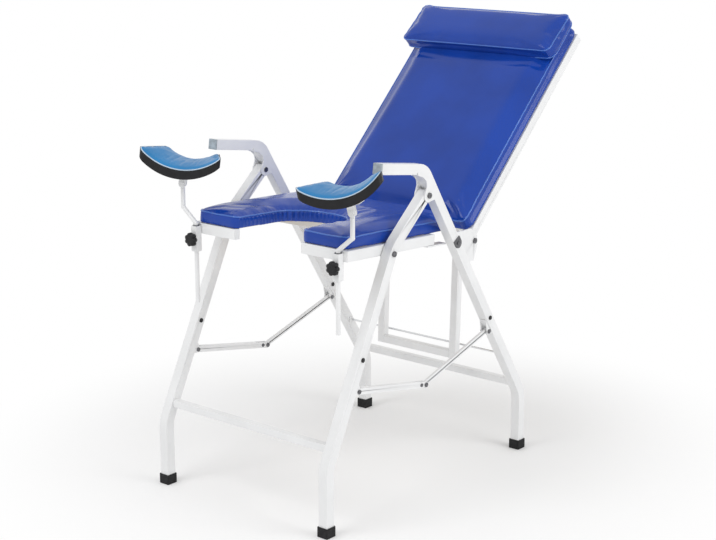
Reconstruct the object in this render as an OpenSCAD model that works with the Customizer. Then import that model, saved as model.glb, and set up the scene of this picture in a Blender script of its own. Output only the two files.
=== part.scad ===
// Folding examination bed: two hinged leg frames, a notched seat, a reclining
// back held by a swinging prop, and a pair of leg supports.
// Axes: X across the bed, -Y towards the foot end, +Z up. Left is -X, right is +X.
// The origin is on the floor, below the middle of the bed.

/* [Leg frames] */
// Width over the outer faces of the legs
frame_w = 604; // [596:1:640]
// Side of the square leg tube
tube = 28; // [26:0.5:30]
// Wall of the tubes
wall = 1.5; // [1:0.1:2]
// Distance between the front feet and the rear feet
foot_spread = 844; // [820:1:870]

/* [Rear legs and arms] */
// Height of the rear knee bend
rear_knee_h = 172; // [150:1:185]
// Lean of the rear leg from the vertical, in degrees
rear_slant = 33; // [32:0.5:34]
// Height where the leg and the arm meet
arm_h = 889; // [875:1:900]
// Length of the arm from that corner to its front end
arm_len = 178; // [150:1:220]
// Rise of the arm towards its front end, in degrees
arm_rise = 8; // [0:0.5:12]
// Bend radius between the leg and the arm
arm_bend_r = 50; // [44:1:54]
// Bend radius of the knees
knee_r = 90; // [60:1:110]
// Height of the bar between the rear legs
rear_bar_h = 205; // [195:1:230]
// Side of the bars between the legs
leg_bar = 20; // [16:1:24]

/* [Front legs] */
// Height of the front knee bend
front_knee_h = 180; // [160:1:195]
// Lean of the front leg from the vertical, in degrees
front_slant = 26; // [25:0.5:27]
// Height of the upper bend
seat_bend_h = 704; // [698:1:710]
// Radius of the upper bend
seat_bend_r = 110; // [80:1:120]
// Height of the bar between the front legs
front_bar_h = 227; // [215:1:250]
// How far the apex pivot lies below the corner of the arm
apex_drop = 69; // [67:1:72]
// How far the apex pivot lies behind that corner
apex_back = 10; // [8:0.5:11]

/* [Stays] */
// Height of the leg's middle line beside the front end of a stay
stay_front_h = 368; // [355:1:380]
// Height of the leg's middle line beside the rear end of a stay
stay_rear_h = 403; // [395:1:410]
// Height of the joint in the middle of a stay
stay_mid_h = 305; // [300:1:310]
// Distance of that joint in front of the rear feet
stay_mid_out = 448; // [444:1:452]
// Depth of the front link
stay_depth = 17; // [15:0.5:18]
// Depth of the rear link
link_depth = 13; // [11:0.5:13.5]

/* [Seat] */
// Height of the seat pivot
seat_pivot_h = 690; // [686:1:693]
// Fall of the seat towards the back, in degrees
seat_tilt = 2.9; // [2:0.1:3.5]
// Reach of the seat frame in front of its pivot
seat_front = 146; // [140:1:152]
// Reach of the seat rails behind the pivot
seat_rear = 208; // [202:1:212]
// Width of the seat rails
rail_w = 22; // [20:1:24]
// Width of the seat cushion
seat_w = 528; // [500:1:530]
// Reach of the seat cushion behind the pivot
seat_cushion_rear = 322; // [310:1:328]
// Height of the edge of the seat cushion
seat_edge = 31; // [26:1:34]
// Crown of the seat cushion above its edge
seat_crown = 12; // [6:1:14]
// Width of the notch in the seat
notch_w = 222; // [200:1:232]
// Depth of the notch in the seat
notch_depth = 242; // [220:1:248]
// Radius of the inner corners of the notch
notch_r = 94; // [70:1:98]

/* [Back] */
// Height of the back pivot
back_pivot_h = 653; // [650:1:657]
// Distance of the back pivot in front of the rear feet
back_pivot_out = 209; // [206:1:213]
// Slope of the back from the horizontal, in degrees
recline = 44.5; // [43:0.5:46]
// Width of the back
back_w = 520; // [500:1:524]
// Side of the back tubes
back_tube = 28; // [26:0.5:28]
// Length of the back tubes above the pivot
back_len = 728; // [700:1:750]
// Length of the back cushion
back_cushion_len = 726; // [690:1:740]
// Thickness of the edge of the back cushion
back_edge = 35; // [28:1:38]
// Crown of the back cushion above its edge
back_crown = 10; // [5:1:13]
// Start of the back cushion above the pivot
back_start = 15; // [15:1:22]

/* [Head pillow] */
// Width of the pillow
pillow_w = 538; // [500:1:544]
// Length of the pillow along the back
pillow_len = 156; // [130:1:170]
// Thickness of the pillow at its lower edge
pillow_low = 52; // [44:1:58]
// Thickness of the pillow at its upper edge
pillow_high = 38; // [30:1:46]

/* [Prop] */
// Width of the prop frame
prop_w = 286; // [270:1:310]
// Side of the prop tubes
prop_tube = 22; // [20:0.5:22.5]
// Height of the underside of the prop
prop_foot_h = 266; // [250:1:275]
// Distance of the prop hinge from the back pivot, along the back
prop_up = 146; // [142:1:152]
// Depth of the prop hinge below the middle of the back tubes
prop_drop = 26; // [26:0.5:29]
// Forward lean of the prop, in degrees
prop_lean = 2; // [1.5:0.5:2.5]
// Diameter of the rod that the prop stands against
rack_rod_d = 6; // [5:0.5:7]
// Height of that rod
rack_rod_h = 303; // [300:1:306]

/* [Leg supports] */
// Distance between the two support rods
rods_apart = 500; // [490:1:504]
// Diameter of a support rod
rod_d = 12; // [10:0.5:12.5]
// Length of the straight lower part of a rod
rod_low = 217; // [190:1:240]
// Sideways step of a rod
rod_step = 47; // [40:1:54]
// Height of that step
rod_step_h = 38; // [36:1:46]
// Length of the upper part of a rod
rod_top = 63; // [56:1:80]
// Height of a socket
socket_h = 70; // [60:1:80]
// Side of a socket
socket_w = 20; // [19:0.5:24]
// Diameter of a clamp knob
knob_d = 38; // [32:1:42]
// Width of a leg pad at its wide end
pad_w = 228; // [216:1:236]
// Width of a leg pad at its narrow end
pad_w_end = 146; // [136:1:170]
// Length of a leg pad along the leg
pad_l = 145; // [130:1:152]
// Radius of the hollow of a leg pad at its wide end
pad_r = 158; // [150:1:180]
// Thickness of the padding
pad_t = 9; // [7:1:12]
// Thickness of the shell under the padding
shell_t = 24; // [20:1:26]
// Turn of the left pad about the vertical, in degrees
pad_turn_left = 30; // [20:1:34]
// Turn of the right pad about the vertical, in degrees
pad_turn_right = 24; // [16:1:28]
// Rise of the outer side of the left pad, in degrees
pad_roll_left = 7; // [0:1:12]
// Rise of the outer side of the right pad, in degrees
pad_roll_right = 13; // [0:1:16]

/* [Hidden] */

$fn = 48;

// Gaps and fits
over = 2;           // overrun of every cut
bend_steps = 12;    // straight steps round each bend of a tube
turn_half = 180;    // half a turn
pin_fit = 0.05;     // radial clearance of a pin that turns in a bore
side_gap = 0.4;     // gap between flat faces that pass each other
soft_gap = 0.3;     // gap between a piece and the stop or pad that it rests on

// Small parts of the leg frames
cap_w = 34;         // side of a rubber foot
cap_h = 28;         // height of a rubber foot
cap_floor = 5;      // rubber below the end of the tube
arm_cap_t = 4;      // end plate of an arm cap
arm_cap_plug = 14;  // length of the plug of an arm cap
bolt_r = 4;         // shank radius of a pivot bolt
head_r = 7.5;       // radius of a bolt head
head_t = 4;         // thickness of a bolt head
nut_t = 5;          // thickness of a nut
thin_nut_t = 2.5;   // thickness of a flat nut
plug_r = 6;         // head radius of a black plug
plug_t = 2.5;       // thickness of the head of a black plug
plug_shank = 3.5;   // shank radius of a black plug
plug_front_h = 438; // height of the plug in a front leg
plug_rear_h = 431;  // height of the plug in a rear leg
ear_t = 3;          // thickness of the plates of an apex bracket
lobe_r = 18;        // radius of the round end of an apex bracket

// Small parts of the stays
stay_ear_t = 2.5;   // thickness of the ears of a stay bracket
front_ear_out = 12; // distance of a stay pivot from the face of the front leg
rear_ear_out = 8;   // distance of a stay pivot from the face of the rear leg
ear_up = 40;        // reach of a rear stay bracket above its pivot
ear_down = 14;      // reach of a stay bracket below its pivot
ear_round = 6;      // metal of an ear outside its pivot
stay_w = 16;        // width of the front link across the bed
stay_wall = 2;      // wall of the front link
link_w = 8;         // width of the rear link across the bed
stay_bolt_r = 3;    // shank radius of a stay bolt
stay_head_r = 6;    // head radius of a stay bolt
stay_head_t = 3;    // thickness of the head of a stay bolt
stop_head_r = 4.8;  // head radius of a stop rivet
web_back = 45;      // length without a web beside the joint of the front link
stop_back = 20;     // distance of the stop rivet from the joint of the stay

// Small parts of the seat
rail_lift = 7;      // middle of the seat rails above the seat pivot
side_play = 2;      // washer between a leg and a seat rail
rest_t = 4;         // thickness of a seat rest
rest_over = 28;     // overlap of a seat rest and its rail
rest_reach = 50;    // length of a seat rest behind the rail
board_t = 8;        // thickness of the boards
least_r = 7;        // least plan radius of a cushion ring
bar_deep = 20;      // depth of the bars of the seat and the back
stub_in = 7;        // inner end of a front bar, outside the notch
seat_bar_in = 150;  // place of the inner cross bar behind the seat pivot
corner_r = 26;      // plan radius of the cushion corners
notch_lip_r = 22;   // plan radius of the front corners of the notch
draw_in = 4;        // how far the sides of a cushion pull in
cushion_in = 20;    // how far a cushion is pulled in at its lowest edge
flare = 30;         // how far the notch opens at the top of the cushion
crown_reach = 56;   // distance over which a cushion rises to its full crown
pillow_reach = 44;  // the same for the pillow

// Small parts of the back and the prop
plate_t = 4;        // thickness of a back bracket
bush_r = 9;         // radius of the spacer on a pivot bolt
bracket_down = 55;  // reach of a back bracket below the pivot
bracket_up = 37;    // reach of a back bracket above the pivot
bracket_bolt_h = 671; // height of the bolt of a back bracket
bracket_head_r = 5.5; // head radius of that bolt
outer_plate_t = 3;  // thickness of the plate under its head
back_low = 20;      // length of the back tubes below the pivot
back_bar_1 = 42;    // place of the lowest bar of the back
back_bar_3 = 430;   // place of the third bar of the back
lug_t = 4;          // thickness of a prop lug
lug_r = 11;         // radius of the round end of a prop lug
hinge_rod_r = 5;    // radius of the rod in the prop hinge
hinge_head_r = 8;   // radius of the ends of that rod
rack_t = 3;         // thickness of a rack plate
rack_deep = 5;      // how far the rack plates stand out behind the prop tubes
rack_gap = 3.5;     // gap between the rack plates and the rod
rack_slot = 3.5;    // half height of a rack notch
rack_notches = [-89, 0, 32]; // places of the notches from the one at the rod
rack_over = 14;     // length of a rack above its first notch
rack_tab_t = 3;     // thickness of the tabs at the ends of the rod
rack_tab = 9;       // size of those tabs

// Small parts of the leg supports
socket_drop = 6;    // top of a socket below the top of the seat frame
step_gap = 7;       // start of the step of a rod above its socket
bush_wall = 1.6;    // wall of the bush in a socket
bush_lip = 1.5;     // collar of the bush above its socket
stem_r = 3;         // radius of the screw of a knob
knob_t = 15;        // thickness of a knob
knob_neck = 3;      // neck between a knob and its socket
knob_neck_r = 9.5;  // radius of that neck
knob_lobes = 7;     // lobes round a knob
knuckle = 0.5;      // swelling of a rod at its bends
eye_r = 9;          // radius of the flat eye on top of a rod
eye_t = 7;          // thickness of that eye
eye_flat = 13;      // length of the flat below that eye
pad_ear_t = 3;      // thickness of the ears under a pad
pad_ear_w = 20;     // width of those ears
pad_base_w = 60;    // width of the plate under a pad
pad_base_l = 44;    // length of the plate under a pad
pad_clear = 25;     // height of that plate above its tilt bolt
pad_bolt_r = 3;     // radius of the tilt bolt
pad_shift = 5;      // middle of a pad beyond its tilt bolt
pad_corner = 14;    // rounding of the corners of a pad
seat_flat_t = 3;    // thickness of the flat below a pad shell
pad_rim = 3;        // width of the shell outside the padding

// Shares for the outlines
apex_shares = [[-0.53, -0.05], [-0.53, -0.15], [-0.20, -0.27], [-0.02, -0.43], [0.02, -0.62], [-0.10, -0.95],
    [0.16, -1.25], [0.50, -1.20], [0.62, -1.02], [0.30, -0.45]];
bracket_shares = [[-0.29, 0.67], [0.25, 0.22], [0.24, -0.24], [-0.05, -1]];
tab_shares = [[-1.4, -0.6], [0.2, -0.9], [0.9, 0], [0.2, 0.9], [-1.4, 1.2]];
cushion_shares = [[0.16, 0], [0.04, 0.12], [0, 0.35], [0, 0.72], [0.04, 0.9]];
crown_shares = [[0.11, 0.08], [0.2, 0.36], [0.4, 0.66], [0.68, 0.9], [1, 1]];
flare_shares = [[0, -0.6], [0.06, -0.2], [0.17, 0.25], [0.4, 0.68], [0.75, 0.93], [1, 1.01]];
pillow_shares = [[0.18, 0], [0.05, 0.1], [0, 0.3], [0, 0.6], [0.04, 0.74], [0.12, 0.79], [0.3, 0.88], [0.6, 0.96],
    [1, 1]];
pad_shares = [[1, 0.5], [0.985, 0.25], [0.93, 0.1], [0.8, 0.03], [0.5, 0], [0, 0], [-0.5, 0], [-0.8, 0.03],
    [-0.93, 0.1], [-0.985, 0.25], [-1, 0.5]];
side_share = 0.4;
top_share = 0.98;
edge_share = 0.3;
cone_shares = [0.4, 1.6];
knob_shares = [0.58, 0.125];

// Places that follow from the sizes above; a point of the side view is [y, z]
leg_x = (frame_w - tube) / 2;
leg_in = leg_x - tube / 2;
leg_out = leg_x + tube / 2;
back_reach = back_len * cos(recline) + back_tube / 2 * sin(recline) - back_pivot_out;
rear_y = (foot_spread + cap_w / 2 - back_reach) / 2;
front_y = rear_y - foot_spread;

rear_down = [sin(rear_slant), -cos(rear_slant)];
rear_out = [-cos(rear_slant), -sin(rear_slant)];
front_down = [-sin(front_slant), -cos(front_slant)];
front_out = [cos(front_slant), -sin(front_slant)];
arm_dir = [-cos(arm_rise), sin(arm_rise)];

function rear_leg_y(h) = rear_y - max(h - rear_knee_h, 0) * tan(rear_slant);
function front_leg_y(h) = front_y + max(h - front_knee_h, 0) * tan(front_slant);

rear_foot = [rear_y, cap_floor];
rear_knee = [rear_y, rear_knee_h];
arm_corner = [rear_leg_y(arm_h), arm_h];
arm_end = arm_corner + arm_len * arm_dir;
front_foot = [front_y, cap_floor];
front_knee = [front_y, front_knee_h];
seat_bend = [front_leg_y(seat_bend_h), seat_bend_h];
apex = arm_corner + [apex_back, -apex_drop];
seat_pivot = [front_leg_y(seat_pivot_h), seat_pivot_h];
back_pivot = [rear_y - back_pivot_out, back_pivot_h];
bracket_bolt = [rear_leg_y(bracket_bolt_h), bracket_bolt_h];
stay_mid = [rear_y - stay_mid_out, stay_mid_h];
stay_front = [front_leg_y(stay_front_h), stay_front_h] + (tube / 2 + front_ear_out) * front_out;
stay_rear = [rear_leg_y(stay_rear_h), stay_rear_h] + (tube / 2 + rear_ear_out) * rear_out;
stay_half = stay_w / 2 + side_gap;

function back_point(u, h) = [back_pivot[0] + u * cos(recline) - h * sin(recline),
    back_pivot[1] + u * sin(recline) + h * cos(recline)];
function seat_point(u, h) = [seat_pivot[0] + u * cos(seat_tilt) + h * sin(seat_tilt),
    seat_pivot[1] - u * sin(seat_tilt) + h * cos(seat_tilt)];

rail_x = leg_in - side_play - rail_w / 2;
rail_in = rail_x - rail_w / 2;
frame_top = rail_lift + tube / 2;
notch_x = notch_w / 2;

back_out = back_w / 2;
back_in = back_out - back_tube;
back_top = back_tube / 2;
pillow_base = back_top + back_edge + back_crown + soft_gap;
prop_hinge_p = back_point(prop_up, -prop_drop);
prop_x = (prop_w - prop_tube) / 2;
prop_down = [-sin(prop_lean), -cos(prop_lean)];
prop_back = [cos(prop_lean), -sin(prop_lean)];
prop_len = (prop_hinge_p[1] - prop_foot_h) / cos(prop_lean);
rod_offset = prop_tube / 2 + rack_deep + rack_gap + rack_rod_d / 2;
rod_along = (prop_hinge_p[1] - rack_rod_h - rod_offset * sin(prop_lean)) / cos(prop_lean);
rack_rod_p = prop_hinge_p + rod_along * prop_down + rod_offset * prop_back;

rod_r = rod_d / 2;
rod_x = rods_apart / 2;
rod_y = seat_point(-seat_front, rail_lift - tube / 2)[0] - socket_w / 2;
socket_top = seat_point(-seat_front, frame_top)[1] - socket_drop;
socket_mid = socket_top - socket_h / 2;
bush_bore = rod_r + pin_fit;
bush_out = bush_bore + bush_wall;
step_start = socket_top + step_gap;
pad_x = rod_x + rod_step;
pad_bolt_h = step_start + rod_step_h + rod_top;
pad_slope = pad_r * (1 - pad_w_end / pad_w) / pad_l;
pad_valley = pad_clear + shell_t;

// Helpers for outlines
function unit(v) = v / norm(v);
function left_of(v) = [-v[1], v[0]];
function turned(v, a) = [v[0] * cos(a) - v[1] * sin(a), v[0] * sin(a) + v[1] * cos(a)];
function turn_of(a, b) = atan2(a[0] * b[1] - a[1] * b[0], a[0] * b[0] + a[1] * b[1]);
function at(list, i) = list[(i + len(list)) % len(list)];

// Closed outline with rounded corners: n steps in each corner, k points on each edge
function rounded(pts, radii, n, k) = [for (i = [0:len(pts) - 1])
    let (
        p = pts[i],
        d = unit(p - at(pts, i - 1)),
        e = unit(at(pts, i + 1) - p),
        turn = turn_of(d, e),
        side = turn > 0 ? 1 : -1,
        back = radii[i] * tan(abs(turn) / 2),
        first = p - back * d,
        last = p + back * e,
        c = first + side * radii[i] * left_of(d),
        a0 = atan2(first[1] - c[1], first[0] - c[0]),
        q = at(pts, i + 1),
        f = unit(at(pts, i + 2) - q),
        next = q - at(radii, i + 1) * tan(abs(turn_of(e, f)) / 2) * e
    )
    each concat(
        [for (j = [0:n]) c + radii[i] * [cos(a0 + turn * j / n), sin(a0 + turn * j / n)]],
        k < 1 ? [] : [for (j = [1:k]) last + (next - last) * j / (k + 1)]
    )];

// Drawing plane of the side view: x becomes Y, y becomes Z, the thickness runs along X
module side_view(x0, x1) {
    translate([min(x0, x1), 0, 0]) rotate([90, 0, 90]) linear_extrude(abs(x1 - x0)) children();
}

// Cylinder along X with its middle at a point of the side view
module cross_pin(p, r, x0, x1, sides = 48) {
    translate([min(x0, x1), p[0], p[1]]) rotate([0, 90, 0]) cylinder(r = r, h = abs(x1 - x0), $fn = sides);
}

// Bolt along X: a round head outside x1 and a hexagonal nut outside x0
module cross_bolt(p, r, x0, x1, hr, ht, nt) {
    s = x1 > x0 ? 1 : -1;
    cross_pin(p, r, x0 - s * nt / 2, x1 + s * ht / 2);
    cross_pin(p, hr, x1, x1 + s * ht);
    cross_pin(p, hr, x0, x0 - s * nt, 6);
}

// Band of width w along a line of points, bent at each inner point, with plain or round ends
module band(pts, radii, w, round_start = false, round_end = false) {
    m = len(pts) - 1;
    right = band_side(pts, radii, -w / 2);
    polygon(concat(
        band_side(pts, radii, w / 2),
        round_end ? half_circle(pts[m], w / 2 * left_of(unit(pts[m] - pts[m - 1]))) : [],
        [for (i = [len(right) - 1:-1:0]) right[i]],
        round_start ? half_circle(pts[0], -w / 2 * left_of(unit(pts[1] - pts[0]))) : []
    ));
}

function half_circle(p, v) = [for (k = [1:2 * bend_steps - 1]) p + turned(v, -turn_half * k / (2 * bend_steps))];

// One edge of a band, at a distance o to the left of its line
function band_side(pts, radii, o) = [for (i = [0:len(pts) - 1])
    each i == 0 ? [pts[0] + o * left_of(unit(pts[1] - pts[0]))]
        : i == len(pts) - 1 ? [pts[i] + o * left_of(unit(pts[i] - pts[i - 1]))]
        : bend(pts[i], unit(pts[i] - pts[i - 1]), unit(pts[i + 1] - pts[i]), radii[i], o)];

function bend(p, d, e, r, o) =
    let (
        turn = turn_of(d, e),
        side = turn > 0 ? 1 : -1,
        c = p - r * tan(abs(turn) / 2) * d + side * r * left_of(d)
    )
    [for (k = [0:bend_steps]) c + (o - side * r) * turned(left_of(d), turn * k / bend_steps)];

// Rectangular tube along X, or along Y, open at both ends
module tube_x(x0, x1, y, z, deep, high) {
    translate([min(x0, x1), y - deep / 2, z - high / 2]) difference() {
        cube([abs(x1 - x0), deep, high]);
        translate([-over, wall, wall]) cube([abs(x1 - x0) + 2 * over, deep - 2 * wall, high - 2 * wall]);
    }
}

module tube_y(y0, y1, x, z, wide, high) {
    translate([x - wide / 2, y0, z - high / 2]) difference() {
        cube([wide, y1 - y0, high]);
        translate([wall, -over, wall]) cube([wide - 2 * wall, y1 - y0 + 2 * over, high - 2 * wall]);
    }
}

// Solid through rings of points, closed at both ends, with a flat face or round a middle point
module loft(rings, domed = false) {
    n = len(rings[0]);
    m = len(rings);
    sides = concat(
        [for (k = [0:m - 2]) for (i = [0:n - 1]) [k * n + i, (k + 1) * n + i, (k + 1) * n + (i + 1) % n]],
        [for (k = [0:m - 2]) for (i = [0:n - 1]) [k * n + i, (k + 1) * n + (i + 1) % n, k * n + (i + 1) % n]]
    );
    caps = domed
        ? concat([for (i = [0:n - 1]) [m * n, i, (i + 1) % n]],
            [for (i = [0:n - 1]) [m * n + 1, (m - 1) * n + (i + 1) % n, (m - 1) * n + i]])
        : [[for (i = [0:n - 1]) i], [for (i = [n - 1:-1:0]) (m - 1) * n + i]];
    middles = domed ? [middle_of(rings[0]), middle_of(rings[m - 1])] : [];
    polyhedron(points = concat([for (r = rings) each r], middles), faces = concat(sides, caps));
}

function middle_of(ring, i = 0) = i == len(ring) ? [0, 0, 0] : ring[i] / len(ring) + middle_of(ring, i + 1);

// The seat and the back are drawn flat, with Y along them from their pivots
module in_seat() { translate([0, seat_pivot[0], seat_pivot[1]]) rotate([-seat_tilt, 0, 0]) children(); }
module in_back() { translate([0, back_pivot[0], back_pivot[1]]) rotate([recline, 0, 0]) children(); }

// Rear frame
module rear_leg(s) {
    radii = [0, knee_r, arm_bend_r, 0];
    x = s * leg_x;
    inner = tube / 2 - wall;
    color("white") difference() {
        side_view(x - tube / 2, x + tube / 2) band([rear_foot, rear_knee, arm_corner, arm_end], radii, tube);
        side_view(x - inner, x + inner)
            band([rear_foot - [0, over], rear_knee, arm_corner, arm_end + over * arm_dir], radii, 2 * inner);
        cross_pin([rear_leg_y(plug_rear_h), plug_rear_h], plug_shank, x - tube, x + tube);
        cross_pin(bracket_bolt, bolt_r, x - tube, x + tube);
    }
}

module rear_leg_left() { rear_leg(-1); }
module rear_leg_right() { rear_leg(1); }

module rear_crossbar() {
    color("white") tube_x(-leg_in, leg_in, rear_leg_y(rear_bar_h), rear_bar_h, leg_bar, leg_bar);
}

// Rod that the prop stands against, and the small tabs at its ends
module rack_rod() {
    color("gainsboro") cross_pin(rack_rod_p, rack_rod_d / 2, -leg_in, leg_in);
}

module rack_tabs() {
    color("white") for (s = [-1, 1]) difference() {
        side_view(s * leg_in, s * (leg_in - rack_tab_t)) polygon([for (p = tab_shares) rack_rod_p + rack_tab * p]);
        cross_pin(rack_rod_p, rack_rod_d / 2, s * (leg_in - tube), s * leg_x);
    }
}

// Apex bracket: an ear on each side of the tubes and a web under the bend
module apex_outline() {
    difference() {
        union() {
            polygon([for (p = apex_shares) arm_corner + apex_drop * p]);
            translate(apex) circle(lobe_r);
        }
        translate(apex) circle(bolt_r);
    }
}

module apex_web() {
    difference() {
        intersection() {
            polygon([for (p = apex_shares) arm_corner + apex_drop * p]);
            band([rear_knee, arm_corner, arm_end], [0, arm_bend_r, 0], tube + 2 * ear_t);
        }
        band([rear_knee, arm_corner, arm_end], [0, arm_bend_r, 0], tube);
        translate(apex) circle(lobe_r + ear_t);
    }
}

module apex_brackets() {
    half = tube / 2 + side_gap;
    color("white") for (s = [-1, 1]) {
        x = s * leg_x;
        side_view(x - half - ear_t, x - half) apex_outline();
        side_view(x + half, x + half + ear_t) apex_outline();
        side_view(x - half, x + half) apex_web();
    }
}

module apex_bolts() {
    half = tube / 2 + side_gap + ear_t;
    color("silver") for (s = [-1, 1])
        cross_bolt(apex, bolt_r, s * (leg_x - half), s * (leg_x + half), head_r, head_t, thin_nut_t);
}

module arm_caps() {
    inner = tube / 2 - wall;
    color("gray") for (s = [-1, 1]) {
        x = s * leg_x;
        side_view(x - tube / 2, x + tube / 2) band([arm_end, arm_end + arm_cap_t * arm_dir], [0, 0], tube);
        side_view(x - inner, x + inner) band([arm_end - arm_cap_plug * arm_dir, arm_end], [0, 0], 2 * inner);
    }
}

module foot(y, x) {
    translate([x - cap_w / 2, y - cap_w / 2, 0]) difference() {
        cube([cap_w, cap_w, cap_h]);
        translate([(cap_w - tube) / 2, (cap_w - tube) / 2, cap_floor]) cube([tube, tube, cap_h]);
    }
}

module rear_feet() { color("black") for (s = [-1, 1]) foot(rear_y, s * leg_x); }
module front_feet() { color("black") for (s = [-1, 1]) foot(front_y, s * leg_x); }

module leg_plug(p, x) {
    cross_pin(p, plug_shank, x - tube / 2, x + tube / 2);
    cross_pin(p, plug_r, x + tube / 2, x + tube / 2 + plug_t);
    cross_pin(p, plug_r, x - tube / 2, x - tube / 2 - plug_t);
}

module rear_plugs() {
    color("black") for (s = [-1, 1]) leg_plug([rear_leg_y(plug_rear_h), plug_rear_h], s * leg_x);
}

module front_plugs() {
    color("black") for (s = [-1, 1]) leg_plug([front_leg_y(plug_front_h), plug_front_h], s * leg_x);
}

// Plate on the inner face of a rear leg that carries the back pivot
module back_bracket_outline() {
    high = back_pivot[1] + bracket_up;
    low = back_pivot[1] - bracket_down;
    difference() {
        polygon(concat([[rear_leg_y(low) - tube / 3, low], [rear_leg_y(high) - tube / 3, high]],
            [for (p = bracket_shares) back_pivot + bracket_down * p]));
        translate(back_pivot) circle(bolt_r);
        translate(bracket_bolt) circle(bolt_r);
    }
}

module back_brackets() {
    color("white") for (s = [-1, 1]) side_view(s * leg_in, s * (leg_in - plate_t)) back_bracket_outline();
}

// Bolt of that plate, with a rounded plate under its head
module outer_plate() {
    translate(bracket_bolt) rotate(-90 + rear_slant) {
        translate([-tube / 2, -tube / 2]) square([tube / 2, tube]);
        circle(tube / 2);
    }
}

module bracket_bolts() {
    color("white") for (s = [-1, 1]) {
        side_view(s * leg_out, s * (leg_out + outer_plate_t)) outer_plate();
        cross_bolt(bracket_bolt, bolt_r, s * (leg_in - plate_t), s * (leg_out + outer_plate_t), bracket_head_r,
            head_t / 2, thin_nut_t);
    }
}

module back_pivot_bolts() {
    color("dimgray") for (s = [-1, 1]) {
        cross_bolt(back_pivot, bolt_r, s * (back_in - side_gap), s * leg_in, head_r, head_t, nut_t);
        cross_pin(back_pivot, bush_r, s * (back_out + side_gap), s * (leg_in - plate_t));
    }
}

// Tab under the rear end of a seat rail
module seat_rests() {
    low = rail_lift - tube / 2 - soft_gap - rest_t;
    color("white") for (s = [-1, 1]) in_seat() translate([s > 0 ? rail_in : -leg_in, seat_rear - rest_over, low])
        cube([leg_in - rail_in, rest_over + rest_reach, rest_t]);
}

// Brackets of the stays: two ears and a foot that stand on the face of a leg
function on_leg(pivot, down, out, a, o) = pivot + a * down + o * out;
module stay_bracket(x, pivot, down, out, ear_out, up) {
    difference() {
        for (s = [-1, 1]) side_view(x + s * stay_half, x + s * (stay_half + stay_ear_t))
            polygon([on_leg(pivot, down, out, -up, -ear_out), on_leg(pivot, down, out, -ear_round, ear_round),
                on_leg(pivot, down, out, ear_round, ear_round), on_leg(pivot, down, out, ear_down, -ear_out)]);
        cross_pin(pivot, stay_bolt_r, x - tube, x + tube);
    }
    side_view(x - stay_half, x + stay_half)
        polygon([on_leg(pivot, down, out, -up + stay_ear_t, -ear_out),
            on_leg(pivot, down, out, -up + stay_ear_t, stay_ear_t - ear_out),
            on_leg(pivot, down, out, -ear_down, stay_ear_t - ear_out),
            on_leg(pivot, down, out, -ear_down, -ear_out)]);
}

module rear_stay_brackets() {
    color("white") for (s = [-1, 1]) stay_bracket(s * leg_x, stay_rear, rear_down, rear_out, rear_ear_out, ear_up);
}

module front_stay_brackets() {
    color("white") for (s = [-1, 1])
        stay_bracket(s * leg_x, stay_front, front_down, front_out, front_ear_out, ear_up / 2);
}

module stay_bolt_at(p, x, s) {
    half = stay_half + stay_ear_t;
    cross_bolt(p, stay_bolt_r, x - s * half, x + s * half, stay_head_r, stay_head_t, stay_head_t);
}

module rear_stay_bolts() { color("dimgray") for (s = [-1, 1]) stay_bolt_at(stay_rear, s * leg_x, s); }
module front_stay_bolts() { color("dimgray") for (s = [-1, 1]) stay_bolt_at(stay_front, s * leg_x, s); }

// Front frame
module front_leg(s) {
    radii = [0, knee_r, seat_bend_r, 0];
    x = s * leg_x;
    inner = tube / 2 - wall;
    color("white") difference() {
        side_view(x - tube / 2, x + tube / 2)
            band([front_foot, front_knee, seat_bend, apex], radii, tube, round_end = true);
        side_view(x - inner, x + inner)
            band([front_foot - [0, over], front_knee, seat_bend, apex], radii, 2 * inner, round_end = true);
        cross_pin([front_leg_y(plug_front_h), plug_front_h], plug_shank, x - tube, x + tube);
        cross_pin(seat_pivot, bolt_r, x - tube, x + tube);
        cross_pin(apex, bolt_r + pin_fit, x - tube, x + tube);
    }
}

module front_leg_left() { front_leg(-1); }
module front_leg_right() { front_leg(1); }

module front_crossbar() {
    color("white") tube_x(-leg_in, leg_in, front_leg_y(front_bar_h), front_bar_h, leg_bar, leg_bar);
}

module seat_pivot_bolts() {
    color("silver") for (s = [-1, 1]) {
        cross_bolt(seat_pivot, bolt_r, s * (rail_in - side_gap), s * leg_out, head_r, head_t, nut_t);
        cross_pin(seat_pivot, bush_r, s * (leg_in - side_play + side_gap), s * leg_in);
    }
}

// Front link of a stay: a channel that is open below
module front_stay(s) {
    x = s * leg_x;
    d = unit(stay_mid - stay_front);
    inner = stay_w / 2 - stay_wall;
    drop = -(stay_wall + over) / 2 * left_of(d);
    color("white") difference() {
        side_view(x - stay_w / 2, x + stay_w / 2) band([stay_front, stay_mid], [0, 0], stay_depth, true, true);
        side_view(x - inner, x + inner) {
            band([stay_front - d * stay_depth + drop, stay_mid + d * stay_depth + drop], [0, 0],
                stay_depth - stay_wall + over);
            band([stay_mid - d * web_back, stay_mid + d * stay_depth], [0, 0], stay_depth + 2 * over);
            band([stay_front - d * stay_depth, stay_front + d * stay_depth], [0, 0], stay_depth + 2 * over);
        }
        cross_pin(stay_front, stay_bolt_r + pin_fit, x - tube, x + tube);
        cross_pin(stay_mid, stay_bolt_r, x - tube, x + tube);
        cross_pin(stay_mid - d * stop_back, stay_bolt_r, x - tube, x + tube);
    }
}

module front_stay_left() { front_stay(-1); }
module front_stay_right() { front_stay(1); }

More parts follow.
